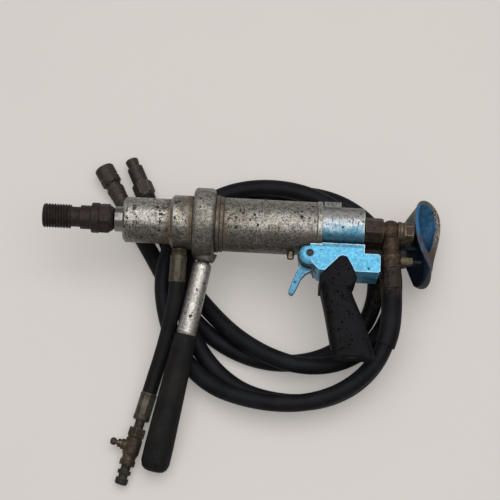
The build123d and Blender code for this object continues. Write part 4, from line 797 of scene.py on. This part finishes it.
# metres; sleeves as start and end along the hose, and diameter
oilHose = {"slot": "hose_rubber", "diameter": 0.0225, "length": 1.42, "end": "connector"}
hoses = {
    "pressureHose": {**oilHose, "node": "hose_pressure", "route": pressureRoute,
        "with": ["coupler_ferrule", "coupler_body", "coupler_sleeve"],
        "sleeves": [(0.001, 0.077, 0.0268), (0.535, 0.60, 0.0243)]},
    "returnHose": {**oilHose, "node": "hose_return", "route": returnRoute,
        "with": ["nipple_ferrule", "nipple_body"]},
    "waterHose": {"slot": "water_hose_rubber", "diameter": 0.0195, "length": 0.15, "end": "fitting",
        "node": "water_hose", "route": waterRoute,
        "with": ["water_ferrule_low", "water_valve_body", "water_valve_stem", "water_valve_ring",
            "water_nipple"]},
}


def routeSpot(station, side, height):
    # a route's point in frame metres
    return spot(station, side, height - lie["axisZ"] * 1000)


def hoseCurve(name, route, radius):
    points = np.array([routeSpot(*point) for point in route])
    curve = bpy.data.curves.new(name, "CURVE")
    curve.dimensions = "3D"
    spline = curve.splines.new("NURBS")
    spline.points.add(len(route) - 1)
    spline.points.foreach_set("co", np.column_stack([points, np.ones(len(route))]).ravel())
    spline.order_u = 3
    spline.use_endpoint_u = True
    spline.resolution_u = 10
    curve.bevel_depth = radius
    curve.bevel_resolution = 8
    curve.use_fill_caps = True
    return curve, points[0]


def routeLine(route):
    # points along the route's own curve, and the length up to each
    bare = bpy.data.objects.new("routeLine", hoseCurve("routeLine", route, 0.0)[0])
    mesh = bpy.data.meshes.new_from_object(bare)
    line = np.empty(len(mesh.vertices) * 3)
    mesh.vertices.foreach_get("co", line)
    line = line.reshape(-1, 3)
    bpy.data.objects.remove(bare)
    bpy.data.meshes.remove(mesh)
    return line, np.concatenate([[0], np.cumsum(np.linalg.norm(np.diff(line, axis=0), axis=1))])


# sleeves with rolled ends: lengths from the end and rises over the hose, metres
sleeve = {
    "lead": (0.0, 0.0, 0.0002, 0.001), "rise": (0.0, 0.0008, 0.0012), "straight": 0.003, "closed": 0.8,
    "rows": 60, "columns": 40, "look": 0.002,
}


def hoseSleeve(name, route, start, end, diameter, slot):
    # a tube round the hose between two lengths from its start: center + radius * ring across it
    line, run = routeLine(route)
    rise = np.array(sleeve["rise"])
    inner = diameter / 2 - rise[-1]
    lead = np.array(sleeve["lead"])
    edge = np.concatenate([[inner * sleeve["closed"]], inner + rise])
    middle = np.linspace(start + sleeve["straight"], end - sleeve["straight"], sleeve["rows"])
    along = np.concatenate([start + lead, middle, end - lead[::-1]])
    radius = np.concatenate([edge, np.full(sleeve["rows"], edge[-1]), edge[::-1]])

    def at(length):
        return np.stack([np.interp(length, run, line[:, axis]) for axis in range(3)], 1)
    forward = unit(at(along + sleeve["look"]) - at(along - sleeve["look"]))
    across = unit(np.cross([0, 0, 1], forward))
    over = np.cross(forward, across)
    turn = fullTurn(sleeve["columns"])[None, :, None]
    ring = np.cos(turn) * across[:, None] + np.sin(turn) * over[:, None]
    piece = gridMesh(name, [at(along)[:, None] + radius[:, None, None] * ring], slot)
    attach(piece, "tool")
    return piece


# pieces turned on a hose's end: station and radius pairs along its last run, hexagon as flats, start, end
couplerProfile = [
    (15.1, 0.01), (15.1, 9.8), (15.7, 10.4), (29.0, 10.9), (29.6, 10.3), (31.0, 10.3), (31.6, 11.0),
    (36.0, 11.4), (43.4, 12.0), (44.4, 11.4), (45.1, 10.35), (78.1, 10.35), (78.1, 8.85), (56.1, 8.85),
    (56.1, 0.01),
]
nippleProfile = [
    (3.0, 0.01), (3.0, 12.2), (3.4, 12.9), (4.4, 14.1), (19.6, 14.1), (20.6, 12.9), (21.0, 12.0),
    (21.0, 11.2), (22.0, 10.3), (23.2, 10.3), (24.0, 10.75), (45.1, 10.75), (46.1, 9.75), (46.1, 8.0),
    (51.6, 8.0), (52.6, 8.75), (57.6, 8.75), (58.6, 7.6), (58.6, 4.0), (40.1, 4.0), (40.1, 0.01),
]
hoseEnds = {
    "couplerBody": {"node": "coupler_body", "slot": "coupler_steel", "route": pressureRoute,
        "profile": couplerProfile},
    "nippleBody": {"node": "nipple_body", "slot": "coupler_steel", "route": returnRoute,
        "profile": nippleProfile, "hexagon": (24.4, 3.0, 21.0)},
}
# crimped ferrules: pressed flats along a plain sleeve, running back from the route's start
oilFerrule = {"slot": "ferrule_rust", "length": 26.0, "radius": 12.6}
waterFerrule = {"slot": "ferrule_nickel", "radius": 10.8}
ferrules = {
    "pressureFerrule": {**oilFerrule, "node": "ferrule_pressure", "route": pressureRoute},
    "returnFerrule": {**oilFerrule, "node": "ferrule_return", "route": returnRoute},
    "waterFerruleTop": {**waterFerrule, "node": "water_ferrule_top", "route": waterRoute, "length": 35.9},
    "waterFerruleLow": {**waterFerrule, "node": "water_ferrule_low", "route": waterRoute[::-1],
        "length": 36.0},
}
# plain ends as distance from the end and drop below the radius
crimp = {
    "flats": 10, "sink": 0.25, "start": 2.4, "plainEnd": 6.0, "ramp": 1.5, "rows": 24,
    "head": [(0, 0.7), (0.6, 0.1), (1.4, 0)], "tail": [(4.6, 0), (2.0, 0), (0.8, 0.5), (0, 1.2)],
}
turnedColumns = {"hoseEnd": 96, "ferrule": 160}


def routeEnd(route):
    # the last point of a route, and across, up and along its last run
    last, before = routeSpot(*route[-1]), routeSpot(*route[-2])
    along = unit(last - before)
    across = unit(np.cross([0, 0, 1], along))
    return last, (across, np.cross(along, across), along)


def turnedPiece(name, look, stations, radii):
    origin, axes = routeEnd(look["route"])
    piece = gridMesh(name, [lathe(stations, radii, origin, axes)], look["slot"], 30.0)
    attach(piece, "tool")
    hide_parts(look["node"])
    return piece


def hoseEnd(name, look):
    # radius = the profile's, or the hexagon's flat where that is smaller
    turn = fullTurn(turnedColumns["hoseEnd"])[None, :]
    stations, radii = np.array(look["profile"]).T
    radii = np.repeat(radii[:, None], turn.size, 1)
    if "hexagon" in look:
        flats, start, end = look["hexagon"]
        inHexagon = (stations >= start) & (stations <= end)
        radii = np.where(inHexagon[:, None], np.minimum(barRadius(flats / 2, 6, turn), radii), radii)
    return turnedPiece(name, look, stations, radii)


def crimpedFerrule(name, look):
    # radius = plain profile less a share of the gap to a many-sided bar, fading at both ends
    turn = fullTurn(turnedColumns["ferrule"])[None, :]
    length, radius, rows = look["length"], look["radius"], crimp["rows"]
    start, end = crimp["start"], length - crimp["plainEnd"]
    head = [(0, 0.01)] + [(place, radius - drop) for place, drop in crimp["head"]]
    middle = np.column_stack([np.linspace(start, end, rows), np.full(rows, radius)])
    tail = [(length - place, radius - drop) for place, drop in crimp["tail"]] + [(length, 0.01)]
    stations, plain = np.concatenate([head, middle, tail]).T
    pressed = ramp(stations, start, crimp["ramp"]) * ramp(stations, end, -crimp["ramp"])
    half = radius * np.cos(np.pi / crimp["flats"])
    bar = barRadius(half, crimp["flats"], turn) - crimp["sink"]
    radii = plain[:, None] - pressed[:, None] * (radius - bar)
    return turnedPiece(name, {**look, "route": look["route"][::-1]}, stations, radii)


turnedEnds = {look["node"]: hoseEnd(name, look) for name, look in hoseEnds.items()}
turnedEnds.update({look["node"]: crimpedFerrule(name, look) for name, look in ferrules.items()})
print("hose ends", len(turnedEnds))


def hosePiece(name, look):
    curve, start = hoseCurve(name, look["route"], look["diameter"] / 2)
    curve.materials.append(finishes[look["slot"]])
    piece = placed(name, curve)
    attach(piece, "tool")
    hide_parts(look["node"])
    sleeves = [hoseSleeve(f"{name}Sleeve{place}", look["route"], *ends, look["slot"])
               for place, ends in enumerate(look.get("sleeves", []))]
    [turnedEnds.get(part, cad[part]) for part in look["with"]] + sleeves


for hoseName, hoseLook in hoses.items():
    hosePiece(hoseName, hoseLook)
print("hoses", len(hoses))


# floor, light and camera; metres and degrees
studio = {
    "floor": (0.39, 0.361, 0.337), "floorGlow": (0.226, 0.215, 0.205),
    "floorDim": (0.3783, 0.35017, 0.32689), "floorHalf": 6.0, "world": (0.38, 0.38, 0.382), "lampSize": 2.5,
    "lampSpot": (0.1, 0.25439, 2.0), "lampPower": 43.0, "elevation": 70.0, "roll": 3.0, "distance": 1.8,
    "sensor": 36.0, "picture": 500, "millimetresPerPixel": 1.30, "tipPixel": (43.5, 215.0),
}


def floorPaint():
    # faintly clouded; part of its tone is a glow that lights nothing, so that shadows on it stay soft
    s = Shade("floorPaint")
    seen = ("Is Camera Ray", "Is Glossy Ray", "Is Transmission Ray")
    rays = sum(s.add("ShaderNodeLightPath", out=ray) for ray in seen)
    glow = s.mix(rays.clip(), (0.0, 0.0, 0.0), studio["floorGlow"])
    color = s.mix(s.noise(6.0, 3.0), studio["floorDim"], studio["floor"])
    return s.done(color=color, rough=0.6, glow=glow, glowLevel=1.0)


def floorAndLight():
    half = studio["floorHalf"]
    mesh = bpy.data.meshes.new("floor")
    corners = [(-half, -half, 0), (half, -half, 0), (half, half, 0), (-half, half, 0)]
    mesh.from_pydata(corners, [], [(0, 1, 2, 3)])
    mesh.materials.append(floorPaint())
    placed("floor", mesh)
    lamp = bpy.data.lights.new("overheadLamp", "AREA")
    lamp.shape = "SQUARE"
    lamp.size = studio["lampSize"]
    lamp.energy = studio["lampPower"]
    placed("overheadLamp", lamp).location = studio["lampSpot"]
    world = bpy.data.worlds.new("softRoom")
    bpy.context.scene.world = world
    world.use_nodes = True
    world.node_tree.nodes["Background"].inputs["Color"].default_value = (*studio["world"], 1.0)


def photoCamera():
    # the camera looks down at the elevation, rolled, so that the thread tip falls on its pixel
    rise, roll = math.radians(studio["elevation"]), math.radians(studio["roll"])
    look = np.array([0.0, math.cos(rise), -math.sin(rise)])
    flatUp = np.array([0.0, math.sin(rise), math.cos(rise)])
    east = toolAxes[2]
    right = math.cos(roll) * east + math.sin(roll) * flatUp
    up = -math.sin(roll) * east + math.cos(roll) * flatUp
    perPixel = studio["millimetresPerPixel"] / 1000
    tipRight, tipDown = [(pixel - studio["picture"] / 2) * perPixel for pixel in studio["tipPixel"]]
    camera = bpy.data.cameras.new("photoCamera")
    camera.sensor_width = studio["sensor"]
    camera.lens = studio["sensor"] * studio["distance"] / (studio["picture"] * perPixel)
    cameraObject = placed("photoCamera", camera)
    place = spot(0, 0, 0) - look * studio["distance"] - (right * tipRight - up * tipDown)
    matrix = np.eye(4)
    matrix[:3] = np.column_stack([right, up, -look, place])
    cameraObject.matrix_world = Matrix(matrix)
    bpy.context.scene.camera = cameraObject


floorAndLight()
photoCamera()
bpy.context.scene.view_settings.view_transform = "Standard"
print("floor, light and camera")
